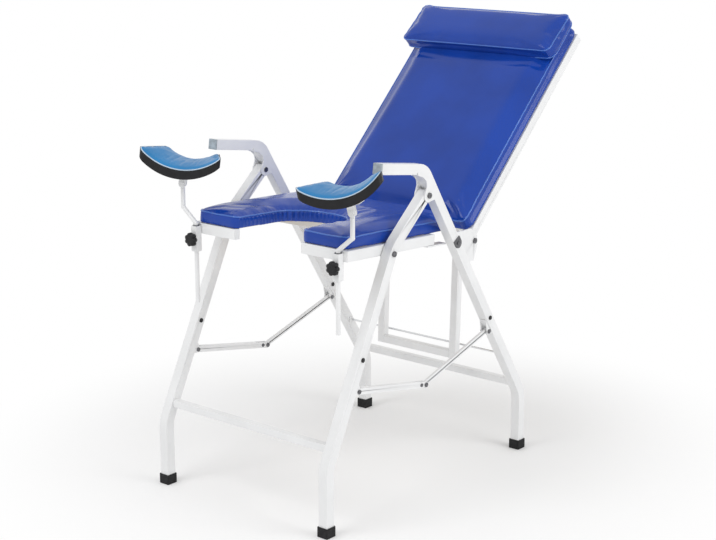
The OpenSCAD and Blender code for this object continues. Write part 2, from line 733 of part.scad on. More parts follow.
// Rear link of a stay: a flat bar between the walls of the front link
module rear_stay(s) {
    x = s * leg_x;
    color("white") difference() {
        side_view(x - link_w / 2, x + link_w / 2) band([stay_rear, stay_mid], [0, 0], link_depth, true, true);
        cross_pin(stay_rear, stay_bolt_r + pin_fit, x - tube, x + tube);
        cross_pin(stay_mid, stay_bolt_r + pin_fit, x - tube, x + tube);
    }
}

module rear_stay_left() { rear_stay(-1); }
module rear_stay_right() { rear_stay(1); }

// Heads of the joint bolt and of the stop rivet beside it, held in the walls of the front link
module mid_bolts(s) {
    x = s * leg_x;
    half = stay_w / 2;
    stop = stay_mid - stop_back * unit(stay_mid - stay_front);
    color("dimgray") {
        for (t = [-1, 1]) {
            cross_pin(stay_mid, stay_bolt_r, x + t * (half - stay_wall), x + t * (half + stay_head_t));
            cross_pin(stay_mid, stay_head_r, x + t * half, x + t * (half + stay_head_t));
            cross_pin(stop, stay_bolt_r, x + t * (half - stay_wall), x + t * (half + stay_wall));
            cross_pin(stop, stop_head_r, x + t * half, x + t * (half + stay_wall));
        }
    }
}

module mid_bolts_left() { mid_bolts(-1); }
module mid_bolts_right() { mid_bolts(1); }

// Seat
module seat_rail(s) {
    color("white") difference() {
        in_seat() tube_y(-seat_front, seat_rear, s * rail_x, rail_lift, rail_w, tube);
        cross_pin(seat_pivot, bolt_r + pin_fit, s * (rail_in - over), s * leg_x);
    }
}

module seat_rail_left() { seat_rail(-1); }
module seat_rail_right() { seat_rail(1); }

module seat_front_bars() {
    color("white") in_seat() for (s = [-1, 1])
        tube_x(s * rail_in, s * (notch_x + stub_in), -seat_front + bar_deep / 2, rail_lift, bar_deep, tube);
}

module seat_cross_bars() {
    color("white") in_seat() {
        tube_x(-rail_in, rail_in, seat_bar_in, rail_lift, bar_deep, tube);
        tube_x(-rail_in, rail_in, seat_rear - bar_deep / 2, rail_lift, bar_deep, tube);
    }
}

// Outline of the seat, pulled in by i
function seat_corners(i) = let (x = seat_w / 2 - i, y0 = -seat_front + i, y1 = seat_cushion_rear - i, n = notch_x + i,
    y2 = -seat_front + notch_depth + i) [[n, y0], [x, y0], [x, y1], [-x, y1], [-x, y0], [-n, y0], [-n, y2], [n, y2]];
function seat_radii(i) = let (r = max(corner_r - i, least_r), f = max(notch_lip_r - i, least_r), c = notch_r + i)
    [f, r, r, r, r, f, c, c];
function pulled(p, middle, half, w) = [p[0] - sign(p[0]) * draw_in * (1 - pow((p[1] - middle) / half, 2))
    * max(abs(p[0]) / w * 2 - 1, 0), p[1]];
module seat_board() {
    color("tan") in_seat() translate([0, 0, frame_top]) linear_extrude(board_t)
        polygon(rounded(seat_corners(draw_in), seat_radii(draw_in), 6, 0));
}

// The cushion is a crowned block, less a notch that flares near the top
function block_ring(i, h) = let (x = seat_w / 2 - i, y0 = -seat_front + i, y1 = seat_cushion_rear - i,
    r = max(corner_r - i, least_r), middle = (y0 + y1) / 2, half = (y1 - y0) / 2)
    [for (p = rounded([[x, y0], [x, y1], [-x, y1], [-x, y0]], [r, r, r, r], 5, 6))
        let (q = pulled(p, middle, half, seat_w / 2)) [q[0], q[1], h]];
function notch_ring(o, h) = let (x = notch_x + o, y0 = -seat_front - crown_reach, y1 = -seat_front + notch_depth + o,
    r = notch_r + o) [for (p = rounded([[x, y0], [x, y1], [-x, y1], [-x, y0]], [least_r, r, r, least_r], 9, 0))
        [p[0], p[1], h]];

module seat_cushion() {
    base = frame_top + board_t;
    edge = frame_top + seat_edge;
    color("royalblue") in_seat() difference() {
        loft(concat(
            [for (p = cushion_shares) block_ring(p[0] * cushion_in, base + p[1] * (seat_edge - board_t))],
            [for (p = crown_shares) block_ring(p[0] * crown_reach, edge + p[1] * seat_crown)]), true);
        loft(concat([notch_ring(0, base - over)],
            [for (p = flare_shares) notch_ring(p[0] * flare, edge + p[1] * seat_crown)],
            [notch_ring(flare, edge + seat_crown + over)]), true);
    }
}

// Sockets on the front of the seat frame, each with a hole for the screw of its knob
module rod_sockets() {
    color("white") for (s = [-1, 1]) difference() {
        translate([s * rod_x - socket_w / 2, rod_y - socket_w / 2, socket_top - socket_h])
            cube([socket_w, socket_w, socket_h]);
        translate([s * rod_x, rod_y, socket_top - socket_h - over])
            cylinder(r = bush_out + pin_fit, h = socket_h + 2 * over);
        translate([s * rod_x, rod_y, socket_mid]) rotate([90, 0, 0]) cylinder(r = stem_r + pin_fit, h = socket_w);
    }
}

// Back
module back_side(s) {
    x = s * (back_in + back_out) / 2;
    color("white") difference() {
        in_back() tube_y(-back_low, back_len, x, 0, back_tube, back_tube);
        cross_pin(back_pivot, bolt_r + pin_fit, s * (back_in - over), s * leg_in);
    }
}

module back_tube_left() { back_side(-1); }
module back_tube_right() { back_side(1); }

module back_cross_bars() {
    color("white") in_back() for (y = [back_bar_1, prop_up, back_bar_3, back_len - bar_deep / 2])
        tube_x(-back_in, back_in, y, 0, bar_deep, back_tube);
}

// Lugs under the second bar, and the rod on which the prop swings
module prop_hinge() {
    outer = prop_x + prop_tube / 2 + side_gap;
    color("white") {
        for (s = [-1, 1]) {
            side_view(s * outer, s * (outer + lug_t)) {
                translate(prop_hinge_p) circle(lug_r);
                polygon([back_point(prop_up - lug_r, -back_top), back_point(prop_up - lug_r, -prop_drop),
                    back_point(prop_up + lug_r, -prop_drop), back_point(prop_up + lug_r, -back_top)]);
            }
            cross_pin(prop_hinge_p, hinge_head_r, s * (outer + lug_t), s * (outer + 2 * lug_t));
        }
        cross_pin(prop_hinge_p, hinge_rod_r, -outer - lug_t, outer + lug_t);
    }
}

// Outline of the back, pulled in by i
function back_corners(i) = let (x = back_w / 2 - i, y0 = back_start + i, y1 = back_start + back_cushion_len - i)
    [[-x, y0], [x, y0], [x, y1], [-x, y1]];
function back_radii(i) = let (r = max(corner_r - i, least_r)) [r, r, r, r];
function back_ring(i, h) = [for (p = rounded(back_corners(i), back_radii(i), 5, 6))
    let (q = pulled(p, back_start + back_cushion_len / 2, back_cushion_len / 2, back_w / 2)) [q[0], q[1], h]];

module back_board() {
    color("tan") in_back() translate([0, 0, back_top]) linear_extrude(board_t)
        polygon(rounded(back_corners(draw_in), back_radii(draw_in), 6, 0));
}

module back_cushion() {
    base = back_top + board_t;
    color("royalblue") in_back() loft(concat(
        [for (p = cushion_shares) back_ring(p[0] * cushion_in, base + p[1] * (back_edge - board_t))],
        [for (p = crown_shares) back_ring(p[0] * crown_reach, back_top + back_edge + p[1] * back_crown)]), true);
}

// Pillow at the head end: a wedge with a crown, resting on the back cushion
function pillow_h(y) = pillow_low + (pillow_high - pillow_low)
    * (y - back_start - back_cushion_len + pillow_len) / pillow_len;
function pillow_ring(i, share) = let (x = pillow_w / 2 - i, y0 = back_start + back_cushion_len - pillow_len + i,
    y1 = back_start + back_cushion_len - i, r = max(corner_r - i, least_r))
    [for (p = rounded([[-x, y0], [x, y0], [x, y1], [-x, y1]], [r, r, r, r], 5, 6))
        [p[0], p[1], pillow_base + share * pillow_h(p[1])]];

module head_pillow() {
    color("royalblue") in_back() loft([for (p = pillow_shares) pillow_ring(p[0] * pillow_reach, p[1])], true);
}

// Prop
module prop_leg(s) {
    x = s * prop_x;
    inner = prop_tube / 2 - wall;
    foot_end = prop_hinge_p + prop_len * prop_down;
    color("white") difference() {
        side_view(x - prop_tube / 2, x + prop_tube / 2)
            band([prop_hinge_p, foot_end], [0, 0], prop_tube, round_start = true);
        side_view(x - inner, x + inner)
            band([prop_hinge_p, foot_end + over * prop_down], [0, 0], 2 * inner, round_start = true);
        cross_pin(prop_hinge_p, hinge_rod_r + pin_fit, x - prop_tube, x + prop_tube);
    }
}

module prop_leg_left() { prop_leg(-1); }
module prop_leg_right() { prop_leg(1); }

module prop_foot_bar() {
    p = prop_hinge_p + (prop_len - prop_tube / 2) * prop_down;
    half = prop_x - prop_tube / 2;
    inner = prop_tube / 2 - wall;
    color("white") difference() {
        side_view(-half, half) translate(p) rotate(-prop_lean) square(prop_tube, center = true);
        side_view(-half - over, half + over) translate(p) rotate(-prop_lean) square(2 * inner, center = true);
    }
}

// Notched plates behind the prop legs
function on_prop(a, o) = prop_hinge_p + (rod_along + a) * prop_down + (prop_tube / 2 + o) * prop_back;
module prop_racks() {
    first = rack_notches[0] - rack_over;
    last = prop_len - rod_along;
    color("white") for (s = [-1, 1]) side_view(s * prop_x - rack_t / 2, s * prop_x + rack_t / 2) difference() {
        polygon([on_prop(first, 0), on_prop(first + rack_deep, rack_deep), on_prop(last, rack_deep), on_prop(last, 0)]);
        for (a = rack_notches) polygon([on_prop(a - rack_slot, rack_deep / 3), on_prop(a - 2 * rack_slot, 2 * rack_deep),
            on_prop(a + rack_slot, 2 * rack_deep), on_prop(a + rack_slot, rack_deep / 3)]);
    }
}

// Leg supports
module socket_bush(s) {
    color("gainsboro") translate([s * rod_x, rod_y, socket_top - socket_h]) difference() {
        union() {
            cylinder(r = bush_out, h = socket_h + side_gap + bush_lip);
            translate([0, 0, socket_h + side_gap]) cylinder(r = bush_out + bush_lip, h = bush_lip);
        }
        translate([0, 0, -over]) cylinder(r = bush_bore, h = socket_h + 3 * over);
    }
}

module socket_bush_left() { socket_bush(-1); }
module socket_bush_right() { socket_bush(1); }

// Round bar through points of the front view [x, z], with a small knuckle at each bend
module round_bar(pts, r) {
    for (i = [0:len(pts) - 2]) {
        d = unit(pts[i + 1] - pts[i]);
        translate([pts[i][0], 0, pts[i][1]]) rotate([0, atan2(d[0], d[1]), 0])
            cylinder(r = r, h = norm(pts[i + 1] - pts[i]));
    }
    for (i = [1:len(pts) - 2]) translate([pts[i][0], 0, pts[i][1]]) sphere(r + knuckle);
}

// Each pad tilts on a bolt along the leg, through the eye of its rod, and stands turned and rolled a little
function pad_turn(s) = s > 0 ? pad_turn_right : pad_turn_left;
function pad_roll(s) = s > 0 ? pad_roll_right : -pad_roll_left;
module at_bolt(s) {
    translate([s * pad_x, rod_y, pad_bolt_h]) rotate([0, 0, pad_turn(s)]) children();
}
module in_pad(s) { at_bolt(s) rotate([0, -pad_roll(s), 0]) children(); }
module pad_pin(r, y0, y1) { translate([0, y1, 0]) rotate([90, 0, 0]) cylinder(r = r, h = y1 - y0); }

module support_rod(s) {
    pts = [[s * rod_x, step_start - rod_low], [s * rod_x, step_start], [s * pad_x, step_start + rod_step_h],
        [s * pad_x, pad_bolt_h]];
    half = eye_t / 2 + side_gap + pad_ear_t;
    color("white") {
        difference() {
            translate([0, rod_y, 0]) round_bar(pts, rod_r);
            at_bolt(s) for (t = [0, 1]) mirror([0, t, 0])
                translate([-rod_d, eye_t / 2, -eye_flat]) cube([2 * rod_d, rod_d, 2 * eye_flat]);
        }
        at_bolt(s) {
            pad_pin(eye_r, -eye_t / 2, eye_t / 2);
            pad_pin(pad_bolt_r, -half - head_t / 2, half + head_t / 2);
            pad_pin(stay_head_r, half, half + head_t);
            pad_pin(stay_head_r, -half - head_t, -half);
        }
    }
}

module support_rod_left() { support_rod(-1); }
module support_rod_right() { support_rod(1); }

module pad_bracket(s) {
    inner = eye_t / 2 + side_gap;
    color("white") in_pad(s) difference() {
        union() {
            for (t = [0, 1]) mirror([0, t, 0]) {
                translate([-pad_ear_w / 2, inner, 0]) cube([pad_ear_w, pad_ear_t, pad_clear]);
                pad_pin(pad_ear_w / 2, inner, inner + pad_ear_t);
            }
            translate([-pad_base_w / 2, -pad_base_l / 2, pad_clear - pad_ear_t])
                cube([pad_base_w, pad_base_l, pad_ear_t]);
        }
        pad_pin(pad_bolt_r + pin_fit, -pad_l, pad_l);
    }
}

module pad_bracket_left() { pad_bracket(-1); }
module pad_bracket_right() { pad_bracket(1); }

// The hollow of a pad is part of a cone, whose lowest line lies level along the leg
function pad_reach(y) = pad_r / pad_slope - y - pad_l / 2;
function pad_half(y) = pad_w / 2 - (pad_w - pad_w_end) * (y / pad_l + 1 / 2) / 2;
function hollow_h(x, y) =
    let (r = pad_reach(y) * pad_slope, k = 1 - pad_slope * pad_slope)
    pad_valley + (r - sqrt(r * r - k * x * x)) / k;

module pad_cone(drop) {
    long = pad_reach(-pad_l / 2);
    turn = atan(pad_slope);
    from = long * cone_shares[0];
    to = long * cone_shares[1];
    translate([0, long - pad_l / 2, pad_valley - drop]) rotate([turn_half / 2 - turn, 0, 0])
        translate([0, 0, from]) cylinder(h = to - from, r1 = from * pad_slope, r2 = to * pad_slope, $fn = 144);
}

// Shell, with a flat below that stands on the bracket
module pad_shell(s) {
    corners = [[pad_w, -pad_l] / 2, [pad_w_end, pad_l] / 2, [-pad_w_end, pad_l] / 2, [-pad_w, -pad_l] / 2];
    color("black") in_pad(s) translate([0, pad_shift, 0]) {
        intersection() {
            linear_extrude(pad_valley + pad_r / 2)
                polygon(rounded(corners, [for (p = corners) pad_corner], 8, 0));
            difference() {
                pad_cone(shell_t);
                pad_cone(0);
            }
        }
        translate([-pad_base_w / 2, -pad_base_l / 2 - pad_shift, pad_clear])
            cube([pad_base_w, pad_base_l, seat_flat_t]);
    }
}

module pad_shell_left() { pad_shell(-1); }
module pad_shell_right() { pad_shell(1); }

// Padding: rings along the leg, thinner near the ends and near the rims, with round corners
function pad_side(y) = let (d = max(0, pad_corner + pad_rim + abs(y) - pad_l / 2))
    pad_half(y) - pad_rim - pad_corner + sqrt(pad_corner * pad_corner - d * d);
function pad_ring(y, cut) = let (x = pad_side(y), n = 20, low = soft_gap / 2, deep = pad_t - cut - low) concat(
        [for (i = [0:n]) let (q = x * (2 * i / n - 1)) [q, y, hollow_h(q, y) + low]],
        [[x + low, y, hollow_h(x, y) + low + deep * side_share]],
        [for (i = [0:n]) let (t = 1 - 2 * i / n, q = x * t * top_share)
            [q, y, hollow_h(q, y) + low + deep * (1 - edge_share * pow(abs(t), 10))]],
        [[-x - low, y, hollow_h(x, y) + low + deep * side_share]]
    );

module pad_cushion(s) {
    half = pad_l / 2 - pad_rim;
    color("cornflowerblue") in_pad(s) translate([0, pad_shift, 0])
        loft([for (p = pad_shares) pad_ring(half * p[0], pad_t * p[1])]);
}

module pad_cushion_left() { pad_cushion(-1); }
module pad_cushion_right() { pad_cushion(1); }

// Lobed knob on a short neck, with a screw that stops short of the bush
module clamp_knob(s) {
    stem = socket_w / 2 - bush_out - pin_fit - soft_gap;
    color("black") translate([s * rod_x, rod_y - socket_w / 2 - side_gap, socket_mid]) rotate([90, 0, 0]) {
        translate([0, 0, -side_gap - stem]) cylinder(r = stem_r, h = stem + side_gap + knob_neck);
        cylinder(r = knob_neck_r, h = knob_neck);
        translate([0, 0, knob_neck]) linear_extrude(knob_t) difference() {
            circle(knob_d / 2);
            for (i = [0:knob_lobes - 1]) rotate(360 / knob_lobes * (i + 0.5)) translate([knob_d * knob_shares[0], 0])
                circle(knob_d * knob_shares[1]);
        }
    }
}

module clamp_knob_left() { clamp_knob(-1); }
module clamp_knob_right() { clamp_knob(1); }

rear_leg_left();
rear_leg_right();
rear_crossbar();
rack_rod();
rack_tabs();
apex_brackets();
apex_bolts();
arm_caps();
rear_feet();
rear_plugs();
back_brackets();
bracket_bolts();
back_pivot_bolts();
seat_rests();
rear_stay_brackets();
rear_stay_bolts();
front_leg_left();
front_leg_right();
front_crossbar();
front_feet();
front_plugs();
front_stay_brackets();
front_stay_bolts();
seat_pivot_bolts();
front_stay_left();
front_stay_right();
rear_stay_left();
rear_stay_right();
mid_bolts_left();
mid_bolts_right();
seat_rail_left();
seat_rail_right();
seat_front_bars();
seat_cross_bars();
seat_board();
seat_cushion();
rod_sockets();
back_tube_left();
back_tube_right();
back_cross_bars();
prop_hinge();
back_board();
back_cushion();
head_pillow();
prop_leg_left();
prop_leg_right();
prop_foot_bar();
prop_racks();
socket_bush_left();
socket_bush_right();
support_rod_left();
support_rod_right();
pad_bracket_left();
pad_bracket_right();
pad_shell_left();
pad_shell_right();
pad_cushion_left();
pad_cushion_right();
clamp_knob_left();
clamp_knob_right();
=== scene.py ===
"""Finishes, upholstery, floor, light and camera for a folding examination bed.

The CAD model comes in as a fixed frame. Its rigid parts keep their shapes and get
painted, plated, moulded and rubber finishes, apart from the two plywood boards and the
two clamp knobs, which are made here in finer shapes. The three bed cushions and the two
leg pads are upholstered pieces made here, in the places of the plain CAD ones. Welts,
piping and small end caps on open tubes are added.
"""

import math

import bmesh
import bpy
import numpy as np
from mathutils import Matrix, Vector
from mathutils.bvhtree import BVHTree


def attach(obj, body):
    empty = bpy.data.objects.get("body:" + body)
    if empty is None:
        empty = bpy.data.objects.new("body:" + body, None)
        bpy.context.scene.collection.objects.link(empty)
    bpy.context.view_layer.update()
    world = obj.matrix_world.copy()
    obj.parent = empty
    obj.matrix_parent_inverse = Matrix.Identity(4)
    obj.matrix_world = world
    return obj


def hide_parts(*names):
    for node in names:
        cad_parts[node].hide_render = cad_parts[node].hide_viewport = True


bl_info = {
    "name": "Folding examination bed",
    "version": (1, 0, 0),
    "blender": (4, 5, 0),
    "location": "3D View > Sidebar > Exam Bed",
    "description": "Finishes and upholstery for a folding examination bed",
    "category": "Object",
}

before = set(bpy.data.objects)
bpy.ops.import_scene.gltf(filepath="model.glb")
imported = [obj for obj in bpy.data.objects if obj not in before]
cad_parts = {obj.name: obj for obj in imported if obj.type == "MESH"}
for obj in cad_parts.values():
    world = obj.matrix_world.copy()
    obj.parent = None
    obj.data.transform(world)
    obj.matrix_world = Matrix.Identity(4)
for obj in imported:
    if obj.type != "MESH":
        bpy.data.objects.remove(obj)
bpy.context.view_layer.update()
MM = 0.001


# --- Sizes and colours that a user would change ---


def colour(name, about, default):
    return bpy.props.FloatVectorProperty(
        name=name, description=about, default=default, subtype="COLOR", size=3,
        min=0.0, max=1.0)


def length(name, about, default):
    return bpy.props.FloatProperty(
        name=name, description=about, default=default, min=0.0, unit="LENGTH", precision=4)


def degrees(name, about, default):
    return bpy.props.FloatProperty(
        name=name, description=about, default=math.radians(default), subtype="ANGLE")


def power(name, about, default):
    return bpy.props.FloatProperty(name=name, description=about, default=default, unit="POWER")


def share(name, about, default):
    return bpy.props.FloatProperty(
        name=name, description=about, default=default, min=0.0, max=1.0, subtype="FACTOR")


class ExamBedFinishes(bpy.types.PropertyGroup):
    paint: colour("Powder coat", "White of the painted tubes", (0.83, 0.835, 0.84))
    bolt: colour("Bolts", "Grey of the bolt heads", (0.17, 0.17, 0.18))
    rod: colour("Bright rod", "Bright plated round bar", (0.78, 0.79, 0.80))
    cap: colour("Arm caps", "Grey of the plugs in the arms", (0.40, 0.44, 0.46))
    black: colour("Black plastic", "Knobs, plugs and pad shells", (0.008, 0.008, 0.009))
    rubber: colour("Rubber", "Feet", (0.011, 0.011, 0.012))
    bush: colour("Bushes", "Plastic bushes round the support rods", (0.10, 0.10, 0.11))
    wood: colour("Plywood", "Boards below the cushions", (0.58, 0.43, 0.27))
    cover: colour("Bed cover", "Blue of the coated cloth on the bed", (0.006, 0.048, 0.335))
    # The welts' lighter blue is a painted highlight along the cushion edges; the cords are the
    # cover's blue
    welt: colour("Welts", "Lighter blue of the sewn cords", (0.035, 0.13, 0.50))
    pad_cover: colour("Pad cover", "Lighter blue of the leg pads", (0.030, 0.21, 0.47))
    pad_piping: colour("Pad piping", "Pale cord round the leg pads", (0.50, 0.62, 0.74))


class ExamBedUpholstery(bpy.types.PropertyGroup):
    voxel: length("Mesh size", "Size of the mesh that the padding is formed with", 0.006)
    pad_voxel: length("Pad mesh size", "The same for the leg pads", 0.0045)
    pressure: bpy.props.FloatProperty(
        name="Pressure", description="How hard the padding fills its cover",
        default=4.0, min=0.0, max=20.0)
    swell: length("Most swelling", "How far the cover of a bed cushion may stand out", 0.010)
    pad_swell: length("Most pad swelling", "The same for the leg pads", 0.005)
    welt: length("Welt radius", "Radius of the sewn cord along the cushion edges", 0.0022)
    pad_welt: length("Pad piping radius", "Radius of the cord round a leg pad", 0.0021)
    pleat: length("Pleat depth", "Depth of the gathers in the notch of the seat", 0.0024)
    fill: share("Fill", "How full the bed cushions are", 0.85)
    pad_fill: share("Pad fill", "How full the leg pads are", 0.75)


class ExamBedStage(bpy.types.PropertyGroup):
    lens: bpy.props.FloatProperty(
        name="Lens", description="Focal length for a sensor 36 mm wide, in millimetres",
        default=80.75, min=20.0)
    camera_turn: degrees("Turn", "Turn of the camera round the bed", 40.0)
    camera_rise: degrees("Rise", "Height of the camera as an angle", 14.0)
    camera_reach: length("Distance", "Distance of the camera from what it looks at", 4.45)
    target: bpy.props.FloatVectorProperty(
        name="Target", description="Point that the camera looks at",
        default=(-0.001, -0.10503, 0.558), subtype="TRANSLATION")
    key: power("Key light", "Power of the large soft lamp", 64.0)
    fill: power("Fill light", "Power of the weaker lamp", 50.0)
    sky: share("Sky", "Strength of the even light from all round", 0.66)
    floor_radius: length("Floor radius", "Radius of the pale floor", 14.0)
    floor: colour("Floor", "Colour of the floor", (0.93, 0.93, 0.93))


# --- Sizes of the bed, in millimetres, as in the CAD source ---

# Seat: pivot (along the bed, up), slope, half width, and its two ends from the pivot
SEAT_PIVOT = (-324.786, 690.0)
SEAT_TILT = math.radians(2.9)
SEAT_HALF = 264.0
SEAT_FRONT = -146.0
SEAT_BACK = 322.0
# Its cushion: foot and top edge over the pivot, and the crown over that edge
SEAT_BASE = 21.3
SEAT_EDGE = 52.0
SEAT_CROWN = 12.0
# Its notch: half width, end, roundings of the end and of the mouth, and the rolled strip
NOTCH_HALF = 111.0
NOTCH_END = 96.0
NOTCH_ROUND = 94.0
NOTCH_LIP = 22.0
NOTCH_FLARE = 30.0
# The notch's wall is measured from this far before the seat's front
NOTCH_BEFORE = 40.0
# Gathers on the wall of the notch: their two spacings, and how slowly they drift
PLEAT_SPACING = (13.0, 7.9)
PLEAT_DRIFT = 21.0
# Folds that run back from the notch: spacing and depth
FOLD_SPACING = 47.0
FOLD_DEPTH = 0.9

# Bed cushions: corners, pull of the sides between them, and how far inside its outline
# and over its edge a cover starts
CORNER = 26.0
DRAW_IN = 4.0
COVER_IN = 1.0
COVER_UP = 2.0
# Welts: how far inside the outline, how high over the edge, and the step between points
WELT_IN = 2.0
WELT_UP = 2.5
WELT_STEP = 4.0
WELT_SINK = 0.35
# Boards: thickness, distance inside the cushion's outline, how far they stand out below,
# and the height over them up to which the padding is held
BOARD = 8.0
BOARD_IN = 9.0
BOARD_GAP = 0.3
HELD_OVER_BOARD = 3.0

# Back: pivot, slope, half width, its two ends, and its cushion's foot, edge and crown
BACK_PIVOT = (61.4705, 653.0)
RECLINE = math.radians(44.5)
BACK_HALF = 260.0
BACK_FROM = 15.0
BACK_TO = 741.0
BACK_BASE = 14.3
BACK_EDGE = 49.0
BACK_CROWN = 10.0

# Head pillow: half width, lower end, foot, thickness at its two ends, gap below it, and
# the height up to which it is held
PILLOW_HALF = 269.0
PILLOW_FROM = 585.0
PILLOW_BASE = 59.3
PILLOW_LOW = 52.0
PILLOW_HIGH = 38.0
PILLOW_GAP = 0.6
PILLOW_HELD = 4.0

# Clamp knobs: place of the right one, lobes, points on each, and radius between lobes, on
# them, and where the outline is round
KNOB = (250.0, -491.353, 677.36)
KNOB_LOBES = 7
KNOB_STEPS = 20
KNOB_VALLEY = 14.6
KNOB_REACH = 18.8
KNOB_ROUND = 16.0
KNOB_FULLNESS = 0.85

# Leg pads: tilt bolt of the right one, turns of the two, and shift along the leg
PAD_BOLT = (297.0, -480.953, 820.36)
PAD_TURN = {-1: math.radians(30.0), 1: math.radians(24.0)}
PAD_ROLL = {-1: math.radians(-7.0), 1: math.radians(13.0)}
PAD_SHIFT = 5.0
# Trough: width at its two ends, length, radius of the hollow, and height of its lowest line
PAD_WIDE = 228.0
PAD_NARROW = 146.0
PAD_LONG = 145.0
PAD_HOLLOW = 158.0
PAD_VALLEY = 49.0
PAD_SLOPE = PAD_HOLLOW * (1 - PAD_NARROW / PAD_WIDE) / PAD_LONG
# Padding: thickness, corners, bare rim of the shell, and gap over the shell
PAD_THICK = 9.0
PAD_CORNER = 14.0
PAD_RIM = 3.0
PAD_GAP = 0.3
PAD_LEAST_GAP = 0.25
# Rows and columns of its mesh, and heights over the trough where it is held and is top
PAD_ROWS, PAD_COLUMNS = 34, 48
PAD_HELD = 3.0
PAD_TOP = 5.0

# Smallest roundings of outlines drawn far inside an edge
SEAT_LEAST, LIP_LEAST, BACK_LEAST, PAD_LEAST = 7.0, 5.0, 6.0, 4.0

# Names of the two sides; left is on the side of negative X
SIDES = {-1: "left", 1: "right"}


def on_slope(pivot, slope, p):
    """A point of a sloped part (across, along from its pivot, up) in the bed's frame."""
    x, u, h = p
    c, s = math.cos(slope), math.sin(slope)
    return Vector((x, pivot[0] + u * c - h * s, pivot[1] + u * s + h * c)) * MM


def on_seat(p):
    return on_slope(SEAT_PIVOT, -SEAT_TILT, p)


def on_back(p):
    return on_slope(BACK_PIVOT, RECLINE, p)


def on_pad(side):
    """A function that does the same for a leg pad."""
    place = (Matrix.Translation((side * PAD_BOLT[0], PAD_BOLT[1], PAD_BOLT[2]))
             @ Matrix.Rotation(PAD_TURN[side], 4, "Z") @ Matrix.Rotation(-PAD_ROLL[side], 4, "Y"))

    def placed(p):
        return (place @ Vector((p[0], p[1] + PAD_SHIFT, p[2]))) * MM
    return placed


# --- Finishes ---

# Most values of a noise texture lie in this range
NOISE_RANGE = (0.3, 0.7)


class Finish:
    """A material with a Principled shader, and short ways to wire textures into it."""

    def __init__(self, name, base, roughness, **sockets):
        self.material = bpy.data.materials.new(name)
        self.material.use_nodes = True
        self.tree = self.material.node_tree
        self.shader = self.tree.nodes["Principled BSDF"]
        self.base = (*base, 1.0)
        self.shader.inputs["Base Color"].default_value = self.base
        self.shader.inputs["Roughness"].default_value = roughness
        for socket, value in sockets.items():
            self.shader.inputs[socket.replace("_", " ")].default_value = value
        self.place = self.node("ShaderNodeTexCoord").outputs["Object"]
        self.relief = None

    def node(self, kind, sockets=None, **settings):
        """A new node, with its settings and the values on its sockets."""
        made = self.tree.nodes.new(kind)
        for name, value in settings.items():
            setattr(made, name, value)
        for name, value in (sockets or {}).items():
            made.inputs[name].default_value = value
        return made

    def link(self, start, end):
        self.tree.links.new(start, end)

    def stretched(self, scale):
        """Texture coordinates that run finer across than along."""
        mapping = self.node("ShaderNodeMapping", {"Scale": scale})
        self.link(self.place, mapping.inputs["Vector"])
        return mapping.outputs["Vector"]

    def noise(self, scale, detail=2.0, place=None, distortion=0.0):
        values = {"Scale": scale, "Detail": detail, "Distortion": distortion}
        made = self.node("ShaderNodeTexNoise", values)
        self.link(place or self.place, made.inputs["Vector"])
        return made.outputs["Fac"]

    def cells(self, scale):
        values = {"Scale": scale, "Smoothness": 0.4}
        made = self.node("ShaderNodeTexVoronoi", values, feature="SMOOTH_F1")
        self.link(self.place, made.inputs["Vector"])
        return made.outputs["Distance"]

    def tones(self, value, low, high, from_low=0.35, from_high=0.65):
        """Colour that runs between two shares of the base colour."""
        ramp = self.node("ShaderNodeValToRGB")
        ramp.color_ramp.elements[0].position = from_low
        ramp.color_ramp.elements[1].position = from_high
        ramp.color_ramp.elements[0].color = (*(c * low for c in self.base[:3]), 1.0)
        ramp.color_ramp.elements[1].color = (*(min(c * high, 1.0) for c in self.base[:3]), 1.0)
        self.link(value, ramp.inputs["Fac"])
        self.link(ramp.outputs["Color"], self.shader.inputs["Base Color"])

    def gloss(self, value, low, high):
        """Roughness that runs between two values."""
        first, last = NOISE_RANGE
        spread = self.node("ShaderNodeMapRange", {
            "From Min": first, "From Max": last, "To Min": low, "To Max": high})
        self.link(value, spread.inputs["Value"])
        self.link(spread.outputs["Result"], self.shader.inputs["Roughness"])

    def bump(self, value, depth, strength=1.0):
        """Relief of that depth in metres; later ones lie on earlier ones."""
        made = self.node("ShaderNodeBump", {"Strength": strength, "Distance": depth})
        self.link(value, made.inputs["Height"])
        if self.relief:
            self.link(self.relief, made.inputs["Normal"])
        self.relief = made.outputs["Normal"]
        self.link(self.relief, self.shader.inputs["Normal"])


def powder_coat(base):
    """White powder coat: faint orange peel and slightly uneven gloss."""
    made = Finish("powder_coat", base, 0.34, Coat_Weight=0.25, Coat_Roughness=0.18)
    made.tones(made.noise(9.0, 3.0), 0.965, 1.02)
    made.gloss(made.noise(34.0, 2.0), 0.28, 0.42)
    made.bump(made.noise(620.0, 1.0), 0.00006, 0.5)
    made.bump(made.noise(70.0, 1.0), 0.0002, 0.2)
    return made.material


def bolt_steel(base):
    """Darkened zinc plate with turning marks."""
    made = Finish("bolt_steel", base, 0.36, Metallic=1.0)
    made.tones(made.noise(160.0, 3.0), 0.7, 1.15)
    made.gloss(made.noise(420.0, 2.0), 0.26, 0.46)
    made.bump(made.noise(1400.0, 1.0), 0.00005, 0.4)
    return made.material


def bright_bar(base):
    """Drawn and plated bar, with marks that run along it."""
    made = Finish("bright_bar", base, 0.16, Metallic=1.0)
    along = made.stretched((18.0, 900.0, 900.0))
    made.tones(made.noise(1.0, 3.0, along), 0.88, 1.05)
    made.gloss(made.noise(1.0, 2.0, along), 0.10, 0.24)
    made.bump(made.noise(1.0, 2.0, along), 0.00003, 0.4)
    return made.material


